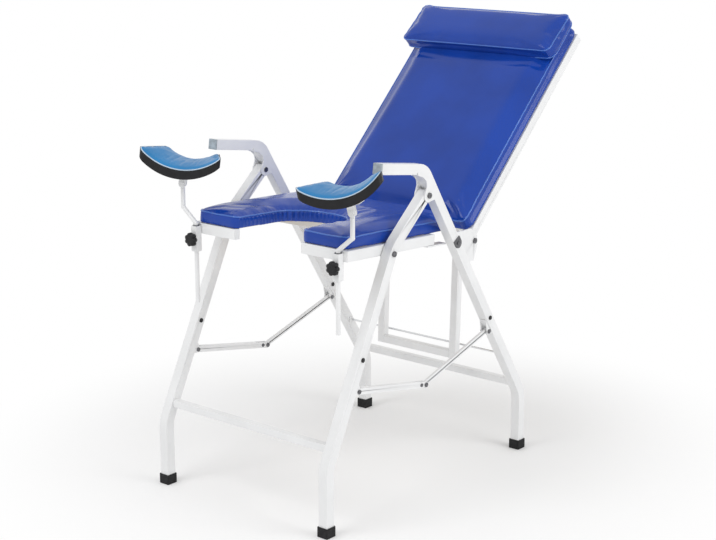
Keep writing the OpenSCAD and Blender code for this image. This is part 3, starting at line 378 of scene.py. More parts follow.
def moulded(name, base, roughness, grain):
    """Moulded plastic or rubber with a fine spark-eroded grain."""
    made = Finish(name, base, roughness, Specular_IOR_Level=0.3)
    made.tones(made.noise(60.0, 3.0), 0.8, 1.3)
    made.gloss(made.noise(90.0, 2.0), roughness - 0.07, roughness + 0.09)
    made.bump(made.cells(grain), 0.00012, 0.35)
    return made.material


def plywood(base):
    """Bare plywood: long grain across the bed, darker streaks and open pores."""
    made = Finish("plywood", base, 0.62)
    grain = made.stretched((3.0, 46.0, 46.0))
    waves = made.node("ShaderNodeTexWave", {
        "Scale": 1.6, "Distortion": 5.0, "Detail": 3.0, "Detail Scale": 1.4,
    }, wave_type="BANDS", bands_direction="Y")
    made.link(grain, waves.inputs["Vector"])
    made.tones(waves.outputs["Fac"], 0.72, 1.12, 0.15, 0.85)
    pores = made.noise(7.0, 4.0, grain)
    made.gloss(pores, 0.55, 0.72)
    made.bump(pores, 0.0004, 0.4)
    return made.material


def coated_cloth(name, base, rough, shine, coat, waviness):
    """Glossy coated upholstery cloth: fine leather grain, soft waves, uneven shine."""
    made = Finish(name, base, rough, Specular_IOR_Level=shine, Coat_Weight=coat,
                  Coat_Roughness=0.08)
    made.tones(made.noise(7.0, 3.0), 0.90, 1.08)
    made.gloss(made.noise(26.0, 3.0), rough - 0.05, rough + 0.06)
    made.bump(made.noise(9.0, 1.0, distortion=0.3), waviness, 0.3)
    made.bump(made.cells(620.0), 0.00018, 0.28)
    made.bump(made.noise(1700.0, 2.0), 0.00006, 0.25)
    return made.material


# --- CAD parts that keep their shape ---

# Edges sharper than these stay sharp in shading, and are rounded by the bevel
SHARP_FROM = math.radians(38.0)
BEVEL_FROM = math.radians(40.0)
# Points closer than this are one, in metres
WELD_WITHIN = 0.00002


def soft_edges_group():
    """A node group that shades smoothly except over edges sharper than its angle."""
    name = "smooth_below_angle"
    if name in bpy.data.node_groups:
        return bpy.data.node_groups[name]
    group = bpy.data.node_groups.new(name, "GeometryNodeTree")
    for way in ("INPUT", "OUTPUT"):
        group.interface.new_socket("Geometry", in_out=way, socket_type="NodeSocketGeometry")
    start, end, angle, sharp, faces, edges = (group.nodes.new(kind) for kind in (
        "NodeGroupInput", "NodeGroupOutput", "GeometryNodeInputMeshEdgeAngle",
        "FunctionNodeCompare", "GeometryNodeSetShadeSmooth", "GeometryNodeSetShadeSmooth"))
    sharp.operation = "LESS_THAN"
    sharp.inputs["B"].default_value = SHARP_FROM
    faces.domain, edges.domain = "FACE", "EDGE"
    join = group.links.new
    join(angle.outputs["Unsigned Angle"], sharp.inputs["A"])
    join(start.outputs[0], faces.inputs["Geometry"])
    join(faces.outputs["Geometry"], edges.inputs["Geometry"])
    join(sharp.outputs["Result"], edges.inputs["Shade Smooth"])
    join(edges.outputs["Geometry"], end.inputs[0])
    return group


def smooth_by_angle(piece):
    smooth = piece.modifiers.new("smooth", "NODES")
    smooth.node_group = soft_edges_group()


def finish_node(name, material, edge=0.0, steps=3):
    """Puts a finish on a CAD node, and rounds its edges by so many metres."""
    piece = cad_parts[name]
    if not piece.material_slots:
        piece.data.materials.append(material)
    for slot in piece.material_slots:
        slot.material = material
    weld = piece.modifiers.new("weld", "WELD")
    weld.merge_threshold = WELD_WITHIN
    if edge:
        bevel = piece.modifiers.new("edges", "BEVEL")
        bevel.width = edge
        bevel.segments = steps
        bevel.limit_method = "ANGLE"
        bevel.angle_limit = BEVEL_FROM
    smooth_by_angle(piece)
    normals = piece.modifiers.new("normals", "WEIGHTED_NORMAL")
    normals.keep_sharp = True


# --- Upholstery ---


def rounded(corners, radii, steps):
    """A closed outline with round corners, in plan."""
    out = []
    count = len(corners)
    for i, corner in enumerate(corners):
        p = Vector(corner)
        a = (Vector(corners[i - 1]) - p).normalized()
        b = (Vector(corners[(i + 1) % count]) - p).normalized()
        half = a.angle(b) / 2
        reach = radii[i] / math.tan(half)
        middle = p + (a + b).normalized() * (radii[i] / math.sin(half))
        first = p + a * reach - middle
        turn = math.pi - 2 * half
        turn = -turn if a.x * b.y - a.y * b.x > 0 else turn
        for k in range(steps + 1):
            t = turn * k / steps
            out.append(middle + Vector((first.x * math.cos(t) - first.y * math.sin(t),
                                        first.x * math.sin(t) + first.y * math.cos(t))))
    return out


def resampled(outline, spacing):
    """The same outline with points at even distances."""
    points = [Vector(p) for p in outline]
    points.append(points[0])
    steps = [0.0]
    for a, b in zip(points, points[1:]):
        steps.append(steps[-1] + (b - a).length)
    count = max(8, round(steps[-1] / spacing))
    out, j = [], 0
    for i in range(count):
        at = steps[-1] * i / count
        while steps[j + 1] < at:
            j += 1
        t = (at - steps[j]) / max(steps[j + 1] - steps[j], 1e-9)
        out.append(points[j].lerp(points[j + 1], t))
    return out


def new_object(name, data):
    made = bpy.data.objects.new(name, data)
    bpy.context.scene.collection.objects.link(made)
    return made


def mesh_object(name, shape):
    """An object made from a bmesh, which is then freed."""
    mesh = bpy.data.meshes.new(name)
    shape.to_mesh(mesh)
    shape.free()
    return new_object(name, mesh)


def loft(name, rings, place):
    """A closed form through rings with equal counts of points."""
    shape = bmesh.new()
    grid = [[shape.verts.new(place(p)) for p in ring] for ring in rings]
    count = len(grid[0])
    for low, high in zip(grid, grid[1:]):
        for i in range(count):
            j = (i + 1) % count
            shape.faces.new((low[i], low[j], high[j], high[i]))
    shape.faces.new(list(reversed(grid[0])))
    shape.faces.new(grid[-1])
    bmesh.ops.recalc_face_normals(shape, faces=shape.faces)
    return mesh_object(name, shape)


def points_of(piece):
    co = np.empty(len(piece.data.vertices) * 3)
    piece.data.vertices.foreach_get("co", co)
    return co.reshape(-1, 3)


def set_points(piece, co):
    piece.data.vertices.foreach_set("co", co.astype(np.float32).ravel())
    piece.data.update()


def evened(piece, size):
    """The form rebuilt from small even faces."""
    remesh = piece.modifiers.new("remesh", "REMESH")
    remesh.mode = "VOXEL"
    remesh.voxel_size = size
    bake(piece)


def bake(piece):
    """Applies every modifier of a piece made here."""
    graph = bpy.context.evaluated_depsgraph_get()
    mesh = bpy.data.meshes.new_from_object(piece.evaluated_get(graph))
    piece.modifiers.clear()
    old = piece.data
    piece.data = mesh
    bpy.data.meshes.remove(old)
    piece.data.name = piece.name


# Settings of the cloth that forms the padding, and how many frames it runs
CLOTH = {
    "use_pressure": True,
    "vertex_group_mass": "held",
    "mass": 0.3,
    "tension_stiffness": 18.0,
    "compression_stiffness": 12.0,
    "shear_stiffness": 8.0,
    "bending_stiffness": 1.2,
    "quality": 4,
}
CLOTH_FRAMES = 20


def pumped(piece, pressure, most, held):
    """Swells the cover like a filled cushion. held tells from the points which ones stay."""
    before = points_of(piece)
    group = piece.vertex_groups.new(name="held")
    group.add([int(i) for i in np.nonzero(held(before))[0]], 1.0, "REPLACE")
    cloth = piece.modifiers.new("cover", "CLOTH")
    for name, value in CLOTH.items():
        setattr(cloth.settings, name, value)
    cloth.settings.uniform_pressure_force = pressure
    cloth.settings.effector_weights.gravity = 0.0
    cloth.point_cache.frame_start = 1
    cloth.point_cache.frame_end = CLOTH_FRAMES
    for step in range(1, CLOTH_FRAMES + 1):
        bpy.context.scene.frame_set(step)
    bake(piece)
    bpy.context.scene.frame_set(1)
    moved = points_of(piece) - before
    far = np.linalg.norm(moved, axis=1, keepdims=True)
    set_points(piece, before + moved * np.minimum(1.0, most / np.maximum(far, 1e-9)))


def finer(piece):
    """One round of subdivision, applied."""
    smooth = piece.modifiers.new("finer", "SUBSURF")
    smooth.levels = 1
    smooth.render_levels = 1
    bake(piece)


def shade(piece, material):
    piece.data.materials.clear()
    piece.data.materials.append(material)
    piece.data.polygons.foreach_set("use_smooth", [True] * len(piece.data.polygons))
    piece.data.update()


def surface_of(piece):
    faces = [list(p.vertices) for p in piece.data.polygons]
    return BVHTree.FromPolygons([v.co for v in piece.data.vertices], faces)


def sewn_cord(name, path, radius, material, cushion=None):
    """A closed sewn cord along a path. Where a cushion is given, it lies on the cover."""
    line = [Vector(p) for p in path]
    if cushion:
        cover = surface_of(cushion)
        settled = []
        for p in line:
            place, normal, _, _ = cover.find_nearest(p)
            settled.append(place + normal * radius * (1 - 2 * WELT_SINK))
        line = settled
    curve = bpy.data.curves.new(name, "CURVE")
    curve.dimensions = "3D"
    curve.bevel_depth = radius
    curve.bevel_resolution = 3
    spline = curve.splines.new("POLY")
    spline.points.add(len(line) - 1)
    for point, p in zip(spline.points, line):
        point.co = (*p, 1.0)
    spline.use_cyclic_u = True
    holder = new_object(name, curve)
    graph = bpy.context.evaluated_depsgraph_get()
    mesh = bpy.data.meshes.new_from_object(holder.evaluated_get(graph))
    bpy.data.objects.remove(holder)
    piece = new_object(name, mesh)
    shade(piece, material)
    return piece


def mount(piece, body, slot, *nodes):
    """Puts a piece on its body, in place of the CAD nodes that are named; slot is not used."""
    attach(piece, body)
    if nodes:
        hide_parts(*nodes)


def upholster(piece, material, body, slot, fill, *nodes):
    """Hands a finished soft piece to the frame."""
    shade(piece, material)
    mount(piece, body, slot, *nodes)


def add_welt(name, outline, height, place, look, cord, cushion, body):
    """Sews a welt on a bed cushion; height gives its height from the place along the bed."""
    path = [place((*p, height(p[1]))) for p in resampled(outline, WELT_STEP)]
    mount(sewn_cord(name, path, look.welt, cord, cushion), body, "bed_cushion")


def pulled(x, along, middle, half, wide):
    """The sides of a cushion pull in between its corners."""
    between = 1 - ((along - middle) / half) ** 2
    return x - math.copysign(DRAW_IN, x) * between * max(abs(x) / wide * 2 - 1, 0)


def flat_axes(place):
    """Origin and axes of a sloped part, across, along and up."""
    zero = place((0, 0, 0))
    axes = [(place(p) - zero) / MM for p in ((1, 0, 0), (0, 1, 0), (0, 0, 1))]
    return np.array(zero), np.array(axes)


def flat_of(zero, axes, co):
    """Points of the bed's frame as points of a flat cushion, in millimetres."""
    rel = co - zero
    return np.stack([rel @ axis for axis in axes], 1) / MM


def set_flat(piece, place, flat):
    """Puts points of a flat cushion back in their places on the bed."""
    zero, axes = flat_axes(place)
    set_points(piece, zero + (flat @ axes) * MM)


def gaussian(values, middle, width):
    return np.exp(-((values - middle) / width) ** 2)


# Rings of a bed cushion: distance inside the outline, share of the height or the crown
SIDE = ((2.6, 0.0), (1.0, 0.05), (0.6, 0.2), (0.5, 0.5), (0.5, 0.8), (0.8, 0.93), (1.8, 1.0))
TOP = ((3.2, 0.08), (7.0, 0.24), (14.0, 0.44), (24.0, 0.66), (38.0, 0.86), (56.0, 0.97),
       (68.0, 1.0))


def cushion_rings(outline, base, edge, crown):
    """Rings of a crowned cushion, from its foot to its top."""
    start = edge + COVER_UP
    rise = start - base
    return ([[(*p, base + up * rise) for p in outline(inset + COVER_IN)] for inset, up in SIDE]
            + [[(*p, start + up * crown) for p in outline(inset + COVER_IN)] for inset, up in TOP])


def padding(name, rings, place, look, mesh, swell, held):
    """Forms a cushion, and gives it and its points flat; mesh is a share of the mesh size."""
    piece = loft(name, rings, place)
    zero, axes = flat_axes(place)
    evened(piece, look.voxel * mesh)
    pumped(piece, look.pressure, swell, lambda co: flat_of(zero, axes, co)[:, 2] < held)
    finer(piece)
    return piece, flat_of(zero, axes, points_of(piece))


def seat_outline(inset):
    """The seat in plan, with its notch, that much inside its edge."""
    side, front, back = SEAT_HALF - inset, SEAT_FRONT + inset, SEAT_BACK - inset
    mouth, end = NOTCH_HALF + inset, NOTCH_END + inset
    corner = max(CORNER - inset, SEAT_LEAST)
    lip = max(NOTCH_LIP - inset, LIP_LEAST)
    turns = [lip, corner, corner, corner, corner, lip, NOTCH_ROUND + inset, NOTCH_ROUND + inset]
    corners = [(mouth, front), (side, front), (side, back), (-side, back), (-side, front),
               (-mouth, front), (-mouth, end), (mouth, end)]
    middle, half = (front + back) / 2, (back - front) / 2
    return [(pulled(p.x, p.y, middle, half, SEAT_HALF), p.y)
            for p in rounded(corners, turns, 14)]


def back_outline(inset, half=BACK_HALF, low=BACK_FROM):
    """The back in plan, or with other sizes the pillow, that much inside its edge."""
    x, y0, y1 = half - inset, low + inset, BACK_TO - inset
    turns = [max(CORNER - inset, BACK_LEAST)] * 4
    middle, reach = (y0 + y1) / 2, (y1 - y0) / 2
    return [(pulled(p.x, p.y, middle, reach, half), p.y)
            for p in rounded([(-x, y0), (x, y0), (x, y1), (-x, y1)], turns, 8)]


def notch_distance(flat):
    """Distance of each point from the notch's wall, its place along the wall, the
    direction away from the wall, and the wall's whole length."""
    front = SEAT_FRONT - NOTCH_BEFORE
    corners = [(NOTCH_HALF, front), (NOTCH_HALF, NOTCH_END), (-NOTCH_HALF, NOTCH_END),
               (-NOTCH_HALF, front)]
    wall = resampled(rounded(corners, [1.0, NOTCH_ROUND, NOTCH_ROUND, 1.0], 20), 3.0)
    line = np.array([(p.x, p.y) for p in wall if p.y > front + 2.0])
    away = np.full(len(flat), 1e9)
    along = np.zeros(len(flat))
    outward = np.zeros((len(flat), 2))
    run = np.concatenate([[0.0], np.cumsum(np.linalg.norm(np.diff(line, axis=0), axis=1))])
    for k, p in enumerate(line):
        rel = flat[:, :2] - p
        d = np.linalg.norm(rel, axis=1)
        near = d < away
        away[near], along[near] = d[near], run[k]
        outward[near] = rel[near]
    size = np.maximum(np.linalg.norm(outward, axis=1, keepdims=True), 1e-6)
    return away, along, outward / size, run[-1]


def make_seat_cushion(look, cloth, cord):
    """Crowned seat cushion, with gathers where the cover turns into the notch."""
    rings = cushion_rings(seat_outline, SEAT_BASE, SEAT_EDGE, SEAT_CROWN)
    piece, flat = padding("seat_cushion_cover", rings, on_seat, look, 1.0, look.swell,
                          SEAT_BASE + BOARD + HELD_OVER_BOARD)
    away, run, outward, whole = notch_distance(flat)
    x, u, h = flat.T
    top = np.clip((h - SEAT_BASE) / (SEAT_EDGE + COVER_UP - SEAT_BASE), 0, 1)
    # The cover rolls down into the notch, and gathers there in short pleats
    roll = (np.clip(1 - away / NOTCH_FLARE, 0, 1) ** 2
            * np.clip((h - SEAT_EDGE + 4.0) / 12.0, 0, 1))
    h = h - roll * 7.0
    bend = gaussian(np.abs(run / whole - 0.5), 0.17, 0.17) + 0.35
    wide, narrow = PLEAT_SPACING
    wave = (np.sin(run * 2 * math.pi / wide + 1.7 * np.sin(run / PLEAT_DRIFT))
            + 0.5 * np.sin(run * 2 * math.pi / narrow + 2.0))
    wall = np.clip(1 - away / 24.0, 0, 1) * (0.3 + 0.7 * gaussian(top, 0.62, 0.42))
    depth = look.pleat / MM * wave * wall * bend
    flat[:, 0] = x + outward[:, 0] * depth
    flat[:, 1] = u + outward[:, 1] * depth
    # Shallow folds run back from the notch over the top
    fold = (gaussian(away, 26.0, 26.0) * (top > 0.9)
            * np.sin(run * 2 * math.pi / FOLD_SPACING + 0.8))
    flat[:, 2] = np.maximum(h + FOLD_DEPTH * fold, SEAT_BASE)
    set_flat(piece, on_seat, flat)
    upholster(piece, cloth, "seat", "bed_cushion", look.fill, "seat_cushion")
    add_welt("seat_cushion_welt", seat_outline(WELT_IN), lambda u: SEAT_EDGE + WELT_UP,
             on_seat, look, cord, piece, "seat")


def make_back_cushion(look, cloth, cord):
    """Long crowned cushion of the back, with shallow creases below the pillow."""
    rings = cushion_rings(back_outline, BACK_BASE, BACK_EDGE, BACK_CROWN)
    piece, flat = padding("back_cushion_cover", rings, on_back, look, 1.1, look.swell,
                          BACK_BASE + BOARD + HELD_OVER_BOARD)
    x, u, h = flat.T
    top = np.clip((h - BACK_EDGE) / 8.0, 0, 1)
    # The cover pulls in under the pillow, and creases run out from its lower corners
    sag = 2.2 * gaussian(u, PILLOW_FROM - 6.0, 26.0)
    for side in SIDES:
        crease = u - (PILLOW_FROM - 16.0 - 0.11 * (BACK_HALF - side * x))
        sag = sag + 1.5 * gaussian(crease, 0.0, 8.0) * gaussian(side * x, 190.0, 90.0)
    low = 1.2 * np.sin(x / 34.0 + 0.6) * gaussian(u, BACK_FROM + 34.0, 34.0)
    under = (u > PILLOW_FROM + 8.0) & (h > PILLOW_BASE - PILLOW_GAP)
    flat[:, 2] = np.maximum(h - top * (sag + low), BACK_BASE)
    flat[under, 2] = PILLOW_BASE - PILLOW_GAP
    set_flat(piece, on_back, flat)
    upholster(piece, cloth, "back", "bed_cushion", look.fill, "back_cushion")
    add_welt("back_cushion_welt", back_outline(WELT_IN), lambda u: BACK_EDGE + WELT_UP,
             on_back, look, cord, piece, "back")


# Rings of a board: distance inside its outline, and height
BOARD_RINGS = ((1.2, 0.0), (0.3, 0.4), (0.0, 1.2), (0.0, BOARD - 1.0), (0.4, BOARD - 0.2))


def make_board(name, outline, base, place, body, wood):
    """Plywood panel; it ends inside the cover, which is folded over its edge."""
    rings = [[(*p, base - BOARD_GAP + up) for p in outline(BOARD_IN + inset)]
             for inset, up in BOARD_RINGS]
    piece = loft(name + "_panel", rings, place)
    piece.data.materials.append(wood)
    mount(piece, body, "board_plywood", name)


def pillow_thick(along):
    return PILLOW_LOW + (PILLOW_HIGH - PILLOW_LOW) * (along - PILLOW_FROM) / (BACK_TO - PILLOW_FROM)


# Rings of the pillow: distance inside its outline, and share of its thickness
PILLOW_RINGS = ((4.0, 0.0), (1.6, 0.05), (0.7, 0.2), (0.5, 0.45), (0.5, 0.66), (0.7, 0.76),
                (1.6, 0.81), (4.2, 0.845), (10.0, 0.89), (24.0, 0.94), (40.0, 0.98), (58.0, 1.0))
# Its welts: name, distance inside the outline, and share of the thickness
PILLOW_WELTS = (("head_pillow_welt", 2.0, 0.78), ("head_pillow_low_welt", 2.6, 0.07))
# Its lower face leans in by this much, on the lower part of its side and of its length
PILLOW_LEAN, LEAN_SIDE, LEAN_LONG = 6.0, 0.76, 60.0


def pillow_outline(inset):
    return back_outline(inset, PILLOW_HALF, PILLOW_FROM)


def pillow_ring(inset, level):
    """One ring of the pillow, leaning in towards the back cushion below."""
    lean = PILLOW_LEAN * max(0.0, 1 - level / LEAN_SIDE)
    return [(x, u + lean * max(0.0, 1 - (u - PILLOW_FROM) / LEAN_LONG),
             PILLOW_BASE + level * pillow_thick(u)) for x, u in pillow_outline(inset + COVER_IN)]


def make_head_pillow(look, cloth, cord):
    """Wedge pillow on the back cushion, with welts round its top and bottom edges."""
    rings = [pillow_ring(inset, level) for inset, level in PILLOW_RINGS]
    piece, flat = padding("head_pillow_cover", rings, on_back, look, 1.0,
                          look.swell * 0.5, PILLOW_BASE + PILLOW_HELD)
    x, u, h = flat.T
    # Small puckers where the corners are sewn
    corner = gaussian(np.abs(x), PILLOW_HALF, 34.0) * np.clip((h - PILLOW_BASE) / 12.0, 0, 1)
    flat[:, 2] = np.maximum(h + 0.7 * corner * np.sin(u / 5.2), PILLOW_BASE + 0.1)
    set_flat(piece, on_back, flat)
    upholster(piece, cloth, "back", "bed_cushion", look.fill, "head_pillow")
    for name, inset, level in PILLOW_WELTS:
        add_welt(name, pillow_outline(inset), lambda u: PILLOW_BASE + level * pillow_thick(u),
                 on_back, look, cord, piece, "back")


def hollow(x, y):
    """Height of the trough of a leg pad: part of a cone that narrows along the leg."""
    r = PAD_HOLLOW - (y + PAD_LONG / 2) * PAD_SLOPE
    k = 1 - PAD_SLOPE ** 2
    return PAD_VALLEY + (r - math.sqrt(max(r * r - k * x * x, 0.0))) / k


def over_trough(co):
    """How far points stand over the trough, in millimetres."""
    most = PAD_WIDE / 2 - 1.0
    return np.array([p[2] - hollow(min(max(p[0], -most), most), p[1]) for p in co / MM])


def pad_outline(inset):
    """A leg pad in plan."""
    long = PAD_LONG / 2 - inset
    wide, narrow = PAD_WIDE / 2 - inset * 1.04, PAD_NARROW / 2 - inset * 1.04
    corner = max(PAD_CORNER - inset, PAD_LEAST)
    return rounded([(wide, -long), (narrow, long), (-narrow, long), (-wide, -long)],
                   [corner] * 4, 8)


def pad_reach(y):
    """Half the width of the padding at a place along it, with round corners."""
    d = max(0.0, PAD_CORNER + PAD_RIM + abs(y) - PAD_LONG / 2)
    wide = (PAD_WIDE - (PAD_WIDE - PAD_NARROW) * (y / PAD_LONG + 0.5)) / 2
    return wide - PAD_RIM - PAD_CORNER + math.sqrt(max(PAD_CORNER ** 2 - d * d, 0.0))


def pad_thick(s, t):
    """Thickness of the padding, which falls towards its edges at -1 and 1."""
    edge = min(1 - abs(s), 1 - abs(t))
    return PAD_THICK * (0.35 + 0.65 * min(1.0, edge / 0.16) ** 0.5)


def crowded(i, count, crowding):
    """One of the places from -1 to 1 that lie closer together at both ends."""
    t = -1 + 2 * i / count
    return math.copysign(1 - (1 - abs(t)) ** crowding, t)


def pad_form(name):
    """The padding as a closed form, flat on the trough, in metres."""
    shape = bmesh.new()
    half = PAD_LONG / 2 - PAD_RIM
    layers = []
    for lift in (0.0, 1.0):
        grid = []
        for j in range(PAD_ROWS + 1):
            t = crowded(j, PAD_ROWS, 1.25)
            y = half * t
            row = []
            for i in range(PAD_COLUMNS + 1):
                s = crowded(i, PAD_COLUMNS, 1.2)
                x = pad_reach(y) * s
                h = hollow(x, y) + PAD_GAP + lift * pad_thick(s, t)
                row.append(shape.verts.new(Vector((x, y, h)) * MM))
            grid.append(row)
        layers.append(grid)
    low, high = layers
    for j in range(PAD_ROWS):
        for i in range(PAD_COLUMNS):
            shape.faces.new((high[j][i], high[j][i + 1], high[j + 1][i + 1], high[j + 1][i]))
            shape.faces.new((low[j][i], low[j + 1][i], low[j + 1][i + 1], low[j][i + 1]))
    rim = ([(0, i) for i in range(PAD_COLUMNS)]
           + [(j, PAD_COLUMNS) for j in range(PAD_ROWS)]
           + [(PAD_ROWS, i) for i in range(PAD_COLUMNS, 0, -1)]
           + [(j, 0) for j in range(PAD_ROWS, 0, -1)])
    for (a, b), (c, d) in zip(rim, rim[1:] + rim[:1]):
        shape.faces.new((low[a][b], low[c][d], high[c][d], high[a][b]))
    bmesh.ops.recalc_face_normals(shape, faces=shape.faces)
    return mesh_object(name, shape)


def make_leg_pad(side, look, cloth, piping):
    """Trough-shaped leg pad on its black shell, with pale piping round the rim."""
    name = SIDES[side]
    place = on_pad(side)
    piece = pad_form("leg_pad_cover_" + name)
    evened(piece, look.pad_voxel * 0.8)
    pumped(piece, look.pressure, look.pad_swell, lambda co: over_trough(co) < PAD_HELD)
    co = points_of(piece)
    co[:, 2] += np.maximum(PAD_LEAST_GAP - over_trough(co), 0.0) * MM
    set_points(piece, co)
    finer(piece)
    co = points_of(piece)
    top = over_trough(co) > PAD_TOP
    co = co / MM
    # Faint pulls run from the long sides towards the middle of the trough
    pull = (0.5 * np.sin(co[:, 1] / 8.5 + 0.01 * co[:, 0])
            * np.clip((np.abs(co[:, 0]) - 50.0) / 50.0, 0, 1))
    co[:, 2] += pull * top
    set_points(piece, np.array([place(p) for p in co]))
    upholster(piece, cloth, "pad_" + name, "pad_cushion", look.pad_fill, "pad_cushion_" + name)
    rim = [place((p[0], p[1], hollow(p[0], p[1]) + 0.6)) for p in resampled(pad_outline(3.4), 3.0)]
    cord = sewn_cord("leg_pad_piping_" + name, rim, look.pad_welt, piping)
    mount(cord, "pad_" + name, "pad_cushion")


# --- End caps and knobs ---


# Rings of an end cap: distance inside the tube's outline, and distance beyond its end
CAP_RINGS = ((1.7, -3.0), (1.7, 0.0), (0.5, 0.0), (0.5, 0.7), (1.1, 1.0))
CAP_CORNER = 1.6


def end_cap(name, wide, high, place, body, paint):
    """Plate with a short plug that closes the end of a tube."""
    rings = []
    for inset, out in CAP_RINGS:
        x, y = wide / 2 - inset, high / 2 - inset
        corners = [(x, y), (-x, y), (-x, -y), (x, -y)]
        rings.append([(*p, out) for p in rounded(corners, [CAP_CORNER] * 4, 4)])
    piece = loft(name, rings, place)
    piece.data.materials.append(paint)
    mount(piece, body, "white_frame")


def close_tubes(paint):
    """End caps of the seat's front bars, the seat rails and the back tubes."""
    for side, name in SIDES.items():
        end_cap("seat_bar_cap_" + name, 20.0, 28.0,
                lambda p: on_seat((side * (118.0 - p[2]), -136.0 + p[0], 7.0 + p[1])),
                "seat", paint)
        end_cap("seat_rail_cap_" + name, 22.0, 28.0,
                lambda p: on_seat((side * 261.0 + p[0], -146.0 - p[2], 7.0 + p[1])),
                "seat", paint)
        end_cap("back_tube_cap_" + name, 28.0, 28.0,
                lambda p: on_back((side * 246.0 + p[0], 728.0 + p[2], p[1])), "back", paint)


# Rings of a knob along its screw: height, share of the outline, share of the lobes
KNOB_RINGS = (
    (-5.5, 0.19, 0.0), (0.0, 0.19, 0.0), (0.0, 0.59, 0.0), (2.8, 0.59, 0.0), (3.0, 0.84, 0.8),
    (3.7, 0.95, 1.0), (5.2, 1.0, 1.0), (13.6, 1.0, 1.0), (15.6, 0.97, 1.0), (17.0, 0.89, 0.9),
    (17.7, 0.74, 0.7), (17.9, 0.52, 0.3), (17.8, 0.44, 0.0), (17.2, 0.41, 0.0), (17.2, 0.04, 0.0),
)


def knob_ring(height, size, lobed):
    """One ring of a knob, between a circle and the lobed outline."""
    out = []
    for i in range(KNOB_LOBES * KNOB_STEPS):
        t = 2 * math.pi * i / (KNOB_LOBES * KNOB_STEPS)
        wave = abs(math.cos(KNOB_LOBES * t / 2)) ** KNOB_FULLNESS
        lobe = KNOB_VALLEY + (KNOB_REACH - KNOB_VALLEY) * wave
        r = size * (lobed * lobe + (1 - lobed) * KNOB_ROUND)
        out.append((r * math.cos(t), r * math.sin(t), height))
    return out


def make_knob(side, plastic):
    """Clamp knob with seven round lobes, a soft edge and a round cap in its face."""
    name = SIDES[side]

    def place(p):
        return Vector((side * KNOB[0] + p[0], KNOB[1] - p[2], KNOB[2] + p[1])) * MM

    piece = loft("clamp_knob_moulding_" + name, [knob_ring(*r) for r in KNOB_RINGS], place)
    shade(piece, plastic)
    smooth_by_angle(piece)
    mount(piece, "knob_" + name, "knob_black", "clamp_knob_" + name)


# --- Operators ---


# Lamps: setting with the power, place, point that it shines at, and diameter, in metres
LAMPS = {
    "key_light": ("key", (-0.6, -3.4, 3.8), (0.0, 0.0, 0.5), 2.8),
    "fill_light": ("fill", (3.6, 0.4, 2.4), (0.0, 0.0, 0.6), 2.4),
}
# Between these distances from its middle the floor turns from shaded to plain white
FLOOR_FADE = (0.35, 1.25)
WHITE = (1.0, 1.0, 1.0, 1.0)


def joined(tree, operation, a, b):
    """Output of a math node for two values."""
    made = tree.nodes.new("ShaderNodeMath")
    made.operation = operation
    tree.links.new(a, made.inputs[0])
    tree.links.new(b, made.inputs[1])
    return made.outputs[0]


def white_for_eye(tree, strength, plain, white):
    """Mixes a plain shader with white that only the camera and reflections see."""
    path = tree.nodes.new("ShaderNodeLightPath").outputs
    factor = joined(tree, "MAXIMUM", path["Is Camera Ray"], path["Is Glossy Ray"])
    factor = joined(tree, "MAXIMUM", factor, path["Is Transmission Ray"])
    if strength is not None:
        factor = joined(tree, "MULTIPLY", factor, strength)
    mix = tree.nodes.new("ShaderNodeMixShader")
    tree.links.new(factor, mix.inputs["Fac"])
    tree.links.new(plain, mix.inputs[1])
    tree.links.new(white, mix.inputs[2])
    return mix.outputs["Shader"]


